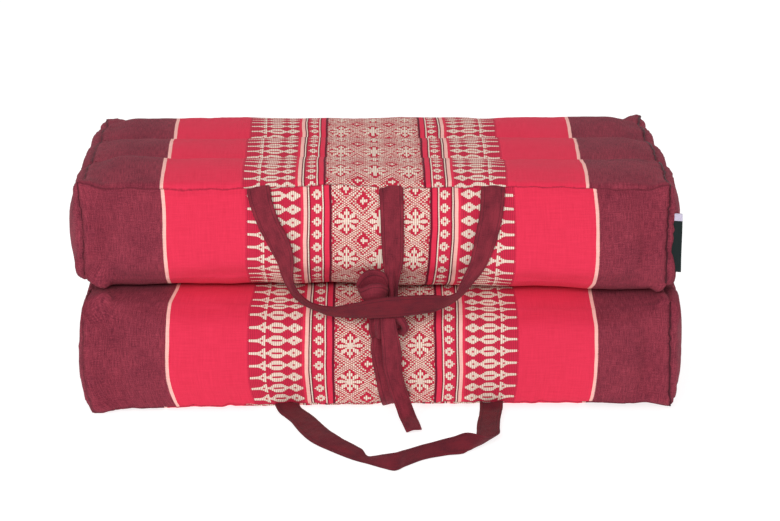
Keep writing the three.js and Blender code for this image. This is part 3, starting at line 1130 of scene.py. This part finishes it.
def darken_seams(tree, vector, colour):
    """Paints shade into the cloth's colour in the crease of a sewn seam."""
    seam = tree.nodes.new("ShaderNodeAttribute")
    seam.attribute_name = "seam_mm"
    ragged = (noise_at(tree, vector, 1, 3, (0.5, 0.5)) - 0.5) * SEAM_SHADE_RAGGED
    near = ((Signal(tree, seam.outputs["Fac"]) + ragged) / SEAM_SHADE_REACH).clamp().invert()
    return mix_colour(tree, near * SEAM_SHADE, colour, ROLL_WINE)


def figured_cotton(figured, weave):
    material, tree, shader, cloth = cloth_material("figured_cotton", roughness=0.85, sheen=0.03)
    pattern = use_group(tree, figured, cloth)
    threads = use_group(tree, weave, cloth)
    u, _ = split_cloth(tree, cloth)
    mottle = Signal(tree, threads.outputs["Mottle"]) * u.abs().above(PALE_OUTER)
    colour = mix_colour(tree, mottle, pattern.outputs["Color"], BLUISH_WINE)
    tree.links.new(darken_seams(tree, cloth, colour), shader.inputs["Base Color"])
    raised = Signal(tree, pattern.outputs["Float"]) * FLOAT_HEIGHT
    add_bump(tree, shader, raised + Signal(tree, threads.outputs["Height"]), FIGURED_RELIEF)
    return material


def wine_cotton(weave):
    """Plain cotton whose crossing threads are of two dark colours, so it is mottled close to."""
    material, tree, shader, cloth = cloth_material("wine_cotton", roughness=0.85, sheen=0.03)
    threads = use_group(tree, weave, cloth)
    colour = mix_colour(tree, Signal(tree, threads.outputs["Mottle"]), WINE, BLUISH_WINE)
    tree.links.new(darken_seams(tree, cloth, colour), shader.inputs["Base Color"])
    add_bump(tree, shader, Signal(tree, threads.outputs["Height"]), WINE_RELIEF)
    return material


def strap_cotton(name, weave, base, painted_shade_stretch=None):
    """The straps' cloth, hemmed along both edges, with painted shade at the hems and edges, and painted
    shade on a stretch where one is given.
    """
    material, tree, shader, cloth = cloth_material(name, roughness=0.75, sheen=0.04)
    threads = use_group(tree, weave, cloth)
    u, v = split_cloth(tree, cloth)
    # painted shade on the given stretch, eased in at both ends
    if painted_shade_stretch is not None:
        rises = ((v - painted_shade_stretch[0]) / PAINTED_SHADE_EASE).clamp()
        falls = ((v * -1 + painted_shade_stretch[1]) / PAINTED_SHADE_EASE).clamp()
        base = mix_colour(tree, rises * falls, base, STRAP_WINE_PAINTED_SHADE)
    patch = noise_at(tree, cloth, 1, 3, STRAP_PATCH_STRETCH) - 0.5
    shade = (Signal(tree, threads.outputs["Mottle"]) * STRAP_MOTTLE + patch * STRAP_PATCHES).clamp()
    colour = mix_colour(tree, shade, base, STRAP_SHADE)
    # a dark line at the hem: its stitching, with painted shade at the step of the doubled cloth
    hem = (u.abs() - HEM_PLACE).abs().below(HEM_HALF)
    colour = mix_colour(tree, hem * HEM_SHADE, colour, ROLL_WINE)
    # painted shade along both edges of the strap, where its thickness is in shadow
    edge = u.abs().above(STRAP_EDGE_FROM)
    colour = mix_colour(tree, edge * STRAP_EDGE_SHADE, colour, ROLL_WINE)
    tree.links.new(colour, shader.inputs["Base Color"])
    doubled = u.abs().above(HEM_PLACE) * HEM_STEP
    raised = Signal(tree, threads.outputs["Height"]) * STRAP_THREAD_HEIGHT + doubled
    add_bump(tree, shader, raised, STRAP_RELIEF)
    return material


def thread_cotton(name, base):
    material, tree, shader, _ = cloth_material(name, roughness=0.75, sheen=0.1)
    place = tree.nodes.new("ShaderNodeTexCoord")
    twist = noise_at(tree, place.outputs["Object"], TWIST_SCALE, 2, (1, 1))
    colour = mix_colour(tree, (twist - TWIST_FROM) * TWIST_SHADE, base, DARK_WINE)
    tree.links.new(colour, shader.inputs["Base Color"])
    add_bump(tree, shader, twist, THREAD_RELIEF)
    return material


def woven_tape():
    """The tag's ribbed tape, dark, with a pale selvedge at its top end."""
    material, tree, shader, cloth = cloth_material("tag_tape_woven", roughness=0.55, sheen=0.1)
    u, v = split_cloth(tree, cloth)
    fray = noise_at(tree, cloth, 1, 2, TAG_FRAY_STRETCH)
    pale = v.above(TAG_PALE_FROM) * (fray * TAG_FRAY + TAG_PALE_LEAST)
    tree.links.new(mix_colour(tree, pale, TAG_DARK, TAG_PALE), shader.inputs["Base Color"])
    ribs = (v * (math.tau / TAG_RIB_PITCH)).math("SINE") * TAG_RIB_HEIGHT
    cords = (u * (math.tau / TAG_CORD_PITCH)).math("SINE") * TAG_CORD_HEIGHT
    add_bump(tree, shader, ribs + cords, TAG_RELIEF)
    return material


# Straps: each row is a point of the middle line, the lean of the face in degrees and the width there.
# Places and widths are in millimetres.
UPPER_HANDLE_ROUTE = [
    (-106, -146, 201.5, 0, 20.5),
    (-105, -152, 195, 4, 20.5),
    (-102, -158, 184, 12, 20),
    (-96.5, -160, 170, 20, 20.5),
    (-87.5, -162, 152, 26, 21.5),
    (-83, -163, 138, 34, 19),
    (-81, -163.5, 126, 40, 13.5),
    (-77.5, -164, 117, 44, 11),
    (-73.5, -165, 110, 54, 13),
    (-66.5, -166, 103.5, 60, 15),
    (-55, -168, 98, 56, 16.5),
    (-35, -172, 95.5, 42, 18),
    (0, -180, 101, 14, 20),
    (38, -175, 102.8, 18, 19),
    (55.5, -170.5, 104, 44, 18),
    (66, -167, 108.6, 60, 16),
    (73, -164.5, 118, 50, 18),
    (83.5, -163, 135, 34, 19),
    (89.5, -162, 155, 22, 21),
    (94, -159.5, 174, 14, 21),
    (96, -154, 190, 8, 21),
    (96.5, -146, 201.5, 0, 21.5),
]
UPPER_TIE_ROUTE = [
    (8.6, -146, 201.5, 0, 21.5),
    (8.8, -153, 193, 0, 21),
    (9.4, -158, 178, 0, 20.5),
    (9.8, -159.5, 152, 0, 19.5),
    (10, -159.5, 135, 0, 17.5),
    (9.5, -159.5, 122, 2, 12.5),
    (9.5, -159.5, 111, 0, 9),
    (10, -160, 101, 0, 8),
]
LOWER_TIE_ROUTE = [
    (14, -147, 8, 0, 27),
    (12, -155, 14, 2, 26),
    (9, -158, 23, 4, 24.5),
    (4, -159.5, 41, 2, 21),
    (-0.5, -160, 58, 0, 17.5),
    (-1.5, -161, 69, 0, 14),
    (-1.5, -162, 78, 0, 12),
]
TIE_END_ROUTE = [
    (5, -168.5, 93, 0, 11),
    (5.6, -173.5, 88, 0, 13),
    (6.4, -173.5, 79, 0, 14.5),
    (9, -170.5, 60, 0, 17),
    (9.6, -169.5, 46, 3, 16),
    (13, -172.5, 30, -4, 15),
    (18.5, -180, 15, -8, 15),
    (23, -192, 5.6, -6, 15),
    (27.5, -218, 2.2, 0, 14),
]
KNOT_WRAP_ROUTE = [
    (-8, -158, 90, 0, 12),
    (-8, -164, 92, 0, 13),
    (-3, -169.5, 94, 0, 13),
    (5, -171.5, 94.5, 0, 13),
    (13, -170, 93.5, 0, 13),
    (17.5, -165, 91, 0, 12),
    (17, -158, 89, 0, 11),
]
KNOT_LEFT_ROUTE = [
    (-3, -162, 95, 0, 8),
    (-5, -168.5, 88, 8, 10),
    (-5.5, -170, 79, 16, 10.5),
    (-4.5, -166, 71, 8, 9),
]
KNOT_RIGHT_ROUTE = [
    (9, -166, 91, 0, 9),
    (14, -171.5, 88, 10, 11),
    (18.5, -170, 82, 24, 10),
    (17.5, -165.5, 77, 10, 8),
    (12, -163, 79, 0, 7),
]

# The bow's loop opens upwards: each row gives its lower edge and then its rim
BOW_LOOP_EDGES = [
    (3, -159.5, 97, 6.5, -160.5, 120),
    (1.5, -159, 97, 2.5, -159, 127.5),
    (-1, -159, 97, -7, -158.6, 130.5),
    (-4, -159.2, 97, -16, -159, 127.5),
    (-7, -160, 97.5, -21, -161, 121.5),
    (-9, -163, 98, -22, -165, 117),
    (-8.5, -167, 98, -18, -170, 116),
    (-6, -169.5, 98, -9.5, -172, 120.5),
    (-4, -170.5, 98, -1, -172, 121),
    (-0.5, -169.5, 98, 5, -168, 117),
    (2, -166.5, 98, 7, -164, 113),
]
BOW_BELLY = 3.6
BOW_CREASE_PLACE = 0.72
BOW_CREASE_REACH = 0.26

# The lower handle lies on the floor: each row gives its outer edge and then its inner edge
LOWER_HANDLE_EDGES = [
    (-94, -146, 6.4, -72.5, -146, 6.8),
    (-91, -156, 3, -70, -154, 4.6),
    (-86.5, -167, 1.9, -65.5, -164, 4.5),
    (-79.4, -184.6, 1.6, -58.7, -182.5, 5.4),
    (-69.3, -222, 1.4, -48.5, -219, 7),
    (-58.8, -248.9, 1.4, -38.5, -246.8, 8.1),
    (-43.4, -271.9, 1.4, -28.5, -262, 6.5),
    (-26.7, -293.8, 1.4, -17.5, -280, 6),
    (-13, -306.5, 1.4, -12.8, -290.5, 3.6),
    (-2, -318.6, 1.4, -1.8, -303, 8.5),
    (9.4, -327, 1.4, 10, -312, 12.8),
    (19.1, -315, 1.4, 19.4, -301, 12),
    (34.7, -296.6, 1.4, 35, -284, 11.5),
    (50.4, -286.5, 1.4, 50.9, -272, 12),
    (58.5, -283.5, 1.4, 61, -267, 12.9),
    (66, -281.4, 1.4, 70.5, -263, 14.8),
    (71, -277, 2.4, 82.5, -264, 12.8),
    (74.6, -269, 1.3, 90.5, -255, 8.4),
    (79.5, -250, 1.3, 99.5, -241, 6),
    (80.5, -225, 1.3, 100.8, -221, 5.5),
    (82, -198, 1.6, 102.4, -196, 5),
    (84.8, -172, 2, 105, -171, 4.6),
    (86, -158, 3, 106.5, -157, 4.6),
    (86.3, -146, 7.6, 107, -146, 8),
]

# The straps' cloth: its sizes, its cupping, its creases (height, length along, count across) and pleats
STRAP_WIDTH = 20
STRAP_THICKNESS = 1.5
STRAP_STEPS_ACROSS = 10
STRAP_CLEAR = 1.9
STRAP_CUP = 1.1
STRAP_CUP_MIDDLE = 0.35
STRAP_CREASES = [(0.8, 16, 2.2), (0.45, 5.5, 1.2)]
PLEAT_DEPTH = 0.21
PLEAT_TURN = 0.8
SEWN_IN = 2.5
STRAP_SEED_STEP = 3.1
ROUTE_STEP = 0.002
MARKS_PER_STEP = 6
TOWARDS_FRONT = Vector((0, -1, 0))
TOWARDS_BACK = Vector((0, 1, 0))
FORWARDS_AND_UP = Vector((0, -1, 1)).normalized()
UPWARDS = Vector((0, 0, 1))
RAY_START = 400
RAY_REACH = 1000

# The knot's core
KNOT_MIDDLE = Vector((4, -163.5, 86))
KNOT_HALF_SIZES = (15, 7.5, 10)
KNOT_CORE_STEPS = (40, 28)
KNOT_CORE_SEED = 5
KNOT_CLOTH_HALF = 10
KNOT_FOLDS = 0.09
KNOT_FOLDS_ACROSS = 7
KNOT_FOLDS_UP = 5
KNOT_UNEVEN = 0.1
KNOT_STRAP_STEPS = 20
KNOT_SEED = 21
KNOT_TURNS = [
    ("wrap", KNOT_WRAP_ROUTE, 1.5),
    ("left", KNOT_LEFT_ROUTE, 1),
    ("right", KNOT_RIGHT_ROUTE, 1),
]

# The hinge and the tag
HINGE_LENGTH = 470
HINGE_WIDTH = 46
HINGE_STEPS = (150, 16)
HINGE_MIDDLE_X = -3
HINGE_HALF_HEIGHT = 20
HINGE_DEEPEST = 143
HINGE_THICKNESS = 1.4
HINGE_CLEAR = 1.2
HINGE_SLACK = 0.5
HINGE_SLACK_LENGTH = 14
HINGE_SEED = 9
HINGE_EASE_TURNS = 3
TAG_HALF_HEIGHT = 26
TAG_STEPS = (28, 14)
TAG_MIDDLE_Z = 150.5
TAG_INNER = Vector((248.9, -144.9, TAG_MIDDLE_Z))
TAG_OUTER = Vector((260.6, -149.1, TAG_MIDDLE_Z))
TAG_LAYER = 0.7
TAG_THICKNESS = 0.6
TAG_BOW = 0.9
TAG_BOW_TURN = 5
TAG_FOLD_POWER = 1.6
TAG_FOLD_ROUND = 0.9
TAG_FOLD_EASE = 6


def route_row(route, share):
    """A row between the route's rows, on a smooth curve through them."""
    place = min(max(share, 0), 1) * (len(route) - 1)
    index = min(int(place), len(route) - 2)
    t = place - index
    before = route[max(index - 1, 0)]
    after = route[min(index + 2, len(route) - 1)]
    row = []
    for a, b, c, d in zip(before, route[index], route[index + 1], after):
        bend = (2 * a - 5 * b + 4 * c - d) * t * t + (3 * b - a - 3 * c + d) * t**3
        row.append(b + 0.5 * ((c - a) * t + bend))
    return row


def no_belly(share, side):
    return 0


def bow_belly(share, side):
    """The loop's front stands off along a crease half way up it."""
    return BOW_BELLY * (1 - abs(2 * side)) * bump(share - BOW_CREASE_PLACE, BOW_CREASE_REACH)


def square_to(way, tangent):
    return (way - tangent * way.dot(tangent)).normalized()


def facing(way):
    return lambda tangent: square_to(way, tangent)


def turning_about(width_way):
    return lambda tangent: tangent.cross(square_to(width_way, tangent))


def along_route(route, face_way):
    """Gives a strap's middle, its way across and its face at a share of its length."""

    def place_at(share):
        row = route_row(route, share)
        ahead = Vector(route_row(route, share + ROUTE_STEP)[:3])
        behind = Vector(route_row(route, share - ROUTE_STEP)[:3])
        tangent = (ahead - behind).normalized()
        face = face_way(tangent)
        face.rotate(Matrix.Rotation(math.radians(row[3]), 3, tangent))
        return Vector(row[:3]), face.cross(tangent) * row[4], face

    return place_at


def between_edges(edges):
    """The same for a strap that is given by its two edges."""

    def place_at(share):
        row = route_row(edges, share)
        outer, inner = Vector(row[:3]), Vector(row[3:])
        ahead = route_row(edges, share + ROUTE_STEP)
        behind = route_row(edges, share - ROUTE_STEP)
        tangent = Vector(ahead[:3]) + Vector(ahead[3:]) - Vector(behind[:3]) - Vector(behind[3:])
        across = inner - outer
        return (outer + inner) / 2, across, tangent.cross(across).normalized()

    return place_at


def even_shares(place_at, steps):
    """Shares of a strap's route at even lengths, and the whole length in millimetres."""
    fine = steps * MARKS_PER_STEP
    marks = [0]
    last = place_at(0)[0]
    for step in range(1, fine + 1):
        here = place_at(step / fine)[0]
        marks.append(marks[-1] + (here - last).length)
        last = here
    length = marks[-1]
    shares = []
    index = 0
    for step in range(steps + 1):
        wanted = length * step / steps
        while index < fine - 1 and marks[index + 1] < wanted:
            index += 1
        part = (wanted - marks[index]) / max(marks[index + 1] - marks[index], 1e-9)
        shares.append((index + part) / fine)
    return shares, length


def cloth_offset(along, side, width, pleats, seed):
    """How far a strap's cloth stands off its plane: cupped, creased, and pleated where it is gathered."""
    offset = -STRAP_CUP * (side * side * 4 - STRAP_CUP_MIDDLE)
    for index, (height, length, across) in enumerate(STRAP_CREASES):
        offset += height * wrinkle((along / length, side * across), seed + index)
    spare = max(STRAP_WIDTH - width, 0)
    return offset + PLEAT_DEPTH * spare * math.cos(side * math.tau * pleats + PLEAT_TURN + seed)


def make_strap(name, place_at, steps, seed, material, pleats=0, clear_of=None, belly=no_belly):
    """A strap of folded cotton: a grid bent along its route, then given body and softened."""
    bm = bmesh.new()
    bmesh.ops.create_grid(bm, x_segments=steps, y_segments=STRAP_STEPS_ACROSS, size=0.5)
    shares, length = even_shares(place_at, steps)
    lay_cloth(bm, lambda at: (at.y * STRAP_WIDTH, (at.x + 0.5) * length))
    for vert in bm.verts:
        step = round((vert.co.x + 0.5) * steps)
        side = vert.co.y
        middle, across, face = place_at(shares[step])
        along = step / steps * length
        off = cloth_offset(along, side, across.length, pleats, seed) + belly(shares[step], side)
        place = middle + across * side + face * off
        if clear_of is not None and SEWN_IN < along < length - 1:
            place.y = min(place.y, clear_of(place) - STRAP_CLEAR)
        place.z = max(place.z, FLOOR_CLEAR + STRAP_THICKNESS / 2)
        vert.co = place * MM
    piece = new_piece(name, bm, material)
    give_body(piece, STRAP_THICKNESS)
    keep_off_floor(piece)
    return piece, length


def join(pieces, name):
    with bpy.context.temp_override(active_object=pieces[0], selected_editable_objects=pieces):
        bpy.ops.object.join()
    pieces[0].name = name
    pieces[0].data.name = name
    return pieces[0]


def cover_trees(covers):
    graph = bpy.context.evaluated_depsgraph_get()
    return [BVHTree.FromObject(cover, graph) for cover in covers]


def hits_along(trees, start, way):
    """Where a ray along Y first meets each cover: the hits' Y in millimetres."""
    found = []
    for tree in trees:
        hit = tree.ray_cast(start * MM, way, RAY_REACH * MM)[0]
        if hit is not None:
            found.append(hit.y / MM)
    return found


def front_finder(covers):
    """Gives how far forward the covers reach at a place, in millimetres."""
    trees = cover_trees(covers)

    def front_at(place):
        return min([0, *hits_along(trees, Vector((place.x, -RAY_START, place.z)), TOWARDS_BACK)])

    return front_at


def make_knot_core(material):
    bm = bmesh.new()
    around, upwards = KNOT_CORE_STEPS
    bmesh.ops.create_uvsphere(bm, u_segments=around, v_segments=upwards, radius=1)
    lay_cloth(bm, lambda at: (at.x * KNOT_CLOTH_HALF, at.z * KNOT_CLOTH_HALF))
    wide, deep, high = KNOT_HALF_SIZES
    for vert in bm.verts:
        way = vert.co.copy()
        crease = KNOT_FOLDS * math.sin(way.x * KNOT_FOLDS_ACROSS + way.z * KNOT_FOLDS_UP)
        crease += KNOT_UNEVEN * wrinkle((way.x * 2, way.z * 3), KNOT_CORE_SEED)
        off = Vector((wide * way.x * (1 + crease), deep * way.y, high * way.z * (1 + crease)))
        vert.co = (KNOT_MIDDLE + off) * MM
    return new_piece("knot_core", bm, material)


def make_knot(material):
    """The knot: a tight core, a turn of strap round it and the folds that come out of it."""
    turns = [make_knot_core(material)]
    for index, (name, route, pleats) in enumerate(KNOT_TURNS):
        way = turning_about(UPWARDS) if name == "wrap" else facing(TOWARDS_FRONT)
        place_at = along_route(route, way)
        seed = KNOT_SEED + index
        turn, _ = make_strap("knot_" + name, place_at, KNOT_STRAP_STEPS, seed, material, pleats)
        turns.append(turn)
    return join(turns, "knot_cotton")


def make_hinge(material, covers):
    """A strip of cloth sewn along both blocks' backs, dipping into the groove between them."""
    bm = bmesh.new()
    bmesh.ops.create_grid(bm, x_segments=HINGE_STEPS[0], y_segments=HINGE_STEPS[1], size=0.5)
    lay_cloth(bm, lambda at: (at.y * HINGE_WIDTH, at.x * HINGE_LENGTH))
    trees = cover_trees(covers)
    for vert in bm.verts:
        x = HINGE_MIDDLE_X + vert.co.x * HINGE_LENGTH
        z = CONTACT_Z + BLOCK_GAP / 2 + vert.co.y * 2 * HINGE_HALF_HEIGHT
        back = max([HINGE_DEEPEST, *hits_along(trees, Vector((x, RAY_START, z)), TOWARDS_FRONT)])
        slack = HINGE_SLACK * (1 + wrinkle((x / HINGE_SLACK_LENGTH, vert.co.y * 2), HINGE_SEED))
        vert.co = Vector((x, back + HINGE_CLEAR + slack, z)) * MM
    piece = new_piece("hinge_cotton", bm, material)
    piece.modifiers.new("ease", "SMOOTH").iterations = HINGE_EASE_TURNS
    give_body(piece, HINGE_THICKNESS, offset=1)
    return piece


def make_tag(material):
    """The tag: woven tape folded on itself, its two ends in the seam."""
    way = (TAG_OUTER - TAG_INNER).normalized()
    aside = Vector((-way.y, way.x, 0))
    reach = (TAG_OUTER - TAG_INNER).length
    bm = bmesh.new()
    bmesh.ops.create_grid(bm, x_segments=TAG_STEPS[0], y_segments=TAG_STEPS[1], size=0.5)
    lay_cloth(bm, lambda at: (at.x * 2 * reach, at.y * 2 * TAG_HALF_HEIGHT))
    for vert in bm.verts:
        fold = vert.co.x * 2
        out = reach * (1 - abs(fold) ** TAG_FOLD_POWER) ** TAG_FOLD_ROUND
        layer = TAG_LAYER * min(max(fold * TAG_FOLD_EASE, -1), 1)
        bow = TAG_BOW * math.sin(vert.co.y * TAG_BOW_TURN) * (out / reach)
        up = vert.co.y * 2 * TAG_HALF_HEIGHT
        vert.co = (TAG_INNER + way * out + aside * (layer + bow) + UPWARDS * up) * MM
    piece = new_piece("tag_tape", bm, material)
    give_body(piece, TAG_THICKNESS)
    return piece, reach


def seam_path(cover, fixed, moving):
    """Points of a finished cover along one seam, in order, with their normals."""
    places = point_places(cover.data)
    index_of = {"along": 0, "across": 1, "height": 2}
    picked = []
    for vert, place in zip(cover.data.vertices, places):
        if all(abs(place[index_of[name]] - value) < 1e-4 for name, value in fixed.items()):
            picked.append((place[index_of[moving]], vert.co.copy(), vert.normal.copy()))
    picked.sort(key=lambda row: row[0])
    return [row[1:] for row in picked]


def roll_wave(travelled, wave, seed):
    length, row = wave
    return wrinkle((travelled / length, row), seed)


def roll_ring(bm, middle, side, up, thick):
    ring = []
    for turn in range(ROLL_SIDES):
        angle = math.tau * turn / ROLL_SIDES
        ring.append(bm.verts.new(middle + (side * math.cos(angle) + up * math.sin(angle)) * thick * MM))
    return ring


def add_roll(bm, path, radius, wander, seed):
    """Adds a thin rolled edge of cloth along a path: a tube whose thickness and place wander a little."""
    rings = []
    travelled = 0
    for index, (point, normal) in enumerate(path):
        ahead = path[min(index + 1, len(path) - 1)][0]
        behind = path[max(index - 1, 0)][0]
        tangent = (ahead - behind).normalized()
        travelled += (point - behind).length / MM
        side = tangent.cross(normal).normalized()
        up = side.cross(tangent)
        off_side = wander * roll_wave(travelled, ROLL_SIDEWAYS, seed)
        off_up = wander * roll_wave(travelled, ROLL_UPWARDS, seed + 1) + radius * ROLL_LIFT
        thick = radius * (1 + ROLL_UNEVEN * roll_wave(travelled, ROLL_THICKNESS, seed + 2))
        rings.append(roll_ring(bm, point + (side * off_side + up * off_up) * MM, side, up, thick))
    for first, second in zip(rings, rings[1:]):
        for turn in range(ROLL_SIDES):
            after = (turn + 1) % ROLL_SIDES
            bm.faces.new((first[turn], first[after], second[after], second[turn]))
    bm.faces.new(list(reversed(rings[0])))
    bm.faces.new(rings[-1])


def end_seams(block):
    """The end panels' seams: what is fixed along each, which way it runs, its roll's radius and wander."""
    seams = []
    for end, (radius, wander) in ((-1, LEFT_ROLL), (1, RIGHT_ROLL)):
        seams.append(({"along": end, "height": 1}, "across", radius, wander))
        for side in (-1, 1):
            turned_away = block is LOWER and end == -1 and side == block["front"]
            if not turned_away:
                seams.append(({"along": end, "across": side}, "height", radius, wander))
    return seams


def make_seam_rolls(block, cover, material):
    bm = bmesh.new()
    for index, (fixed, moving, radius, wander) in enumerate(end_seams(block)):
        add_roll(bm, seam_path(cover, fixed, moving), radius, wander, block["seed"] + index)
    piece = new_piece(block["name"] + "_seams", bm, material)
    keep_off_floor(piece)
    return piece


def add_stitch(bm, middle, tangent, normal):
    side = tangent.cross(normal).normalized()
    up = side.cross(tangent)
    turned = Matrix((tangent, side, up)).transposed().to_4x4()
    half_sizes = (STITCH_LENGTH / 2 * MM, STITCH_RADIUS * MM, STITCH_RADIUS * MM, 1)
    place = Matrix.Translation(middle) @ turned @ Matrix.Diagonal(half_sizes)
    around, along = STITCH_STEPS
    bmesh.ops.create_uvsphere(bm, u_segments=around, v_segments=along, radius=1, matrix=place)


def make_stitches(block, cover, material):
    """The sewn lines between the channels, stitch by stitch."""
    bm = bmesh.new()
    for across in (-1 / CHANNELS, 1 / CHANNELS):
        path = seam_path(cover, {"across": across, "height": 1}, "along")
        travelled = 0
        for (point, normal), (after, _) in zip(path, path[1:]):
            step = (after - point).length / MM
            if int((travelled + step) / STITCH_PITCH) > int(travelled / STITCH_PITCH):
                middle = (point + after) / 2 + normal * STITCH_LIFT * MM
                add_stitch(bm, middle, (after - point).normalized(), normal)
            travelled += step
    piece = new_piece(block["name"] + "_stitches", bm, material)
    keep_off_floor(piece)
    return piece


def place_camera():
    data = bpy.data.cameras.new("viewpoint")
    data.lens = CAMERA_LENS
    data.sensor_width = CAMERA_SENSOR
    data.clip_end = CAMERA_SIGHT
    camera = new_object("viewpoint", data)
    camera.location = Vector(CAMERA_PLACE) * MM
    camera.rotation_euler = (math.radians(90 - CAMERA_PITCH), 0, math.radians(-CAMERA_YAW))
    scene.camera = camera


def place_light(row):
    data = bpy.data.lights.new(row["name"], "AREA")
    data.shape = "RECTANGLE"
    data.size, data.size_y = row["size"]
    data.energy = row["power"]
    light = new_object(row["name"], data)
    light.location = row["at"]
    way = Vector(row["aim"]) - Vector(row["at"])
    light.rotation_euler = way.to_track_quat("-Z", "Y").to_euler()


def light_studio():
    world = bpy.data.worlds.new("studio")
    scene.world = world
    world.use_nodes = True
    background = world.node_tree.nodes["Background"]
    background.inputs["Color"].default_value = WHITE
    background.inputs["Strength"].default_value = WORLD_STRENGTH
    for row in LIGHTS:
        place_light(row)
    scene.view_settings.view_transform = "Standard"


def make_floor():
    """A pale floor with a little light of its own, so that it stays white to its far edge."""
    material = bpy.data.materials.new("pale_floor")
    material.use_nodes = True
    shader = material.node_tree.nodes["Principled BSDF"]
    for socket, value in FLOOR_LOOK.items():
        shader.inputs[socket].default_value = value
    bm = bmesh.new()
    bmesh.ops.create_grid(bm, x_segments=1, y_segments=1, size=FLOOR_HALF)
    floor = new_piece("floor", bm, material)


place_camera()
light_studio()
make_floor()

weave = weave_group()
figured_material = figured_cotton(figured_cloth_group(), weave)
wine_material = wine_cotton(weave)
strap_material = strap_cotton("strap_cotton", weave, STRAP_WINE)
# the upper handle's cloth, with painted shade on its run
handle_material = strap_cotton("handle_cotton", weave, STRAP_WINE, HANDLE_PAINTED_SHADE_STRETCH)
# the lower handle's cloth: the strap cloth darkened all over as painted shade
lower_handle_material = strap_cotton("strap_cotton_painted_shade", weave, STRAP_WINE_PAINTED_SHADE)
roll_material = thread_cotton("seam_roll", ROLL_WINE)
thread_material = thread_cotton("thread", THREAD_RED)
tape_material = woven_tape()

covers = []
for block in (UPPER, LOWER):
    cover = make_cover(block, [figured_material, wine_material])
    covers.append(cover)
    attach(cover, "root")
    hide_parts(block["node"])
    rolls = make_seam_rolls(block, cover, roll_material)
    stitches = make_stitches(block, cover, thread_material)
    for trim in (rolls, stitches):
        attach(trim, "root")

front_at = front_finder(covers)
upper_handle_way = along_route(UPPER_HANDLE_ROUTE, facing(TOWARDS_FRONT))
upper_tie_way = along_route(UPPER_TIE_ROUTE, facing(TOWARDS_FRONT))
lower_tie_way = along_route(LOWER_TIE_ROUTE, facing(TOWARDS_FRONT))
tie_end_way = along_route(TIE_END_ROUTE, facing(FORWARDS_AND_UP))
lower_handle_way = between_edges(LOWER_HANDLE_EDGES)
bow_way = between_edges(BOW_LOOP_EDGES)
# Each strap's node, way, steps, how it is held, its cloth, its pleats, what it clears and its belly
STRAPS = [
    ("upper_handle", upper_handle_way, 110, "hung", handle_material, 0, front_at, no_belly),
    ("lower_handle", lower_handle_way, 120, "laid", lower_handle_material, 0, None, no_belly),
    ("upper_tie", upper_tie_way, 50, "stretched", strap_material, 1.6, front_at, no_belly),
    ("lower_tie", lower_tie_way, 36, "stretched", strap_material, 1.2, front_at, no_belly),
    ("tie_end", tie_end_way, 50, "hung", strap_material, 0, front_at, no_belly),
    ("bow_loop", bow_way, 60, "folded", strap_material, 0, front_at, bow_belly),
]
for number, (node, place_at, steps, held, material, pleats, clear_of, belly) in enumerate(STRAPS):
    seed = number * STRAP_SEED_STEP
    strap, length = make_strap(node + "_cotton", place_at, steps, seed, material, pleats, clear_of, belly)
    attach(strap, "root")
    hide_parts(node)
    length * MM

knot = make_knot(strap_material)
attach(knot, "root")
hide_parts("knot")

hinge = make_hinge(wine_material, covers)
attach(hinge, "root")
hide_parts("back_hinge")

tag, tag_reach = make_tag(tape_material)
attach(tag, "root")
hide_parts("side_tag")
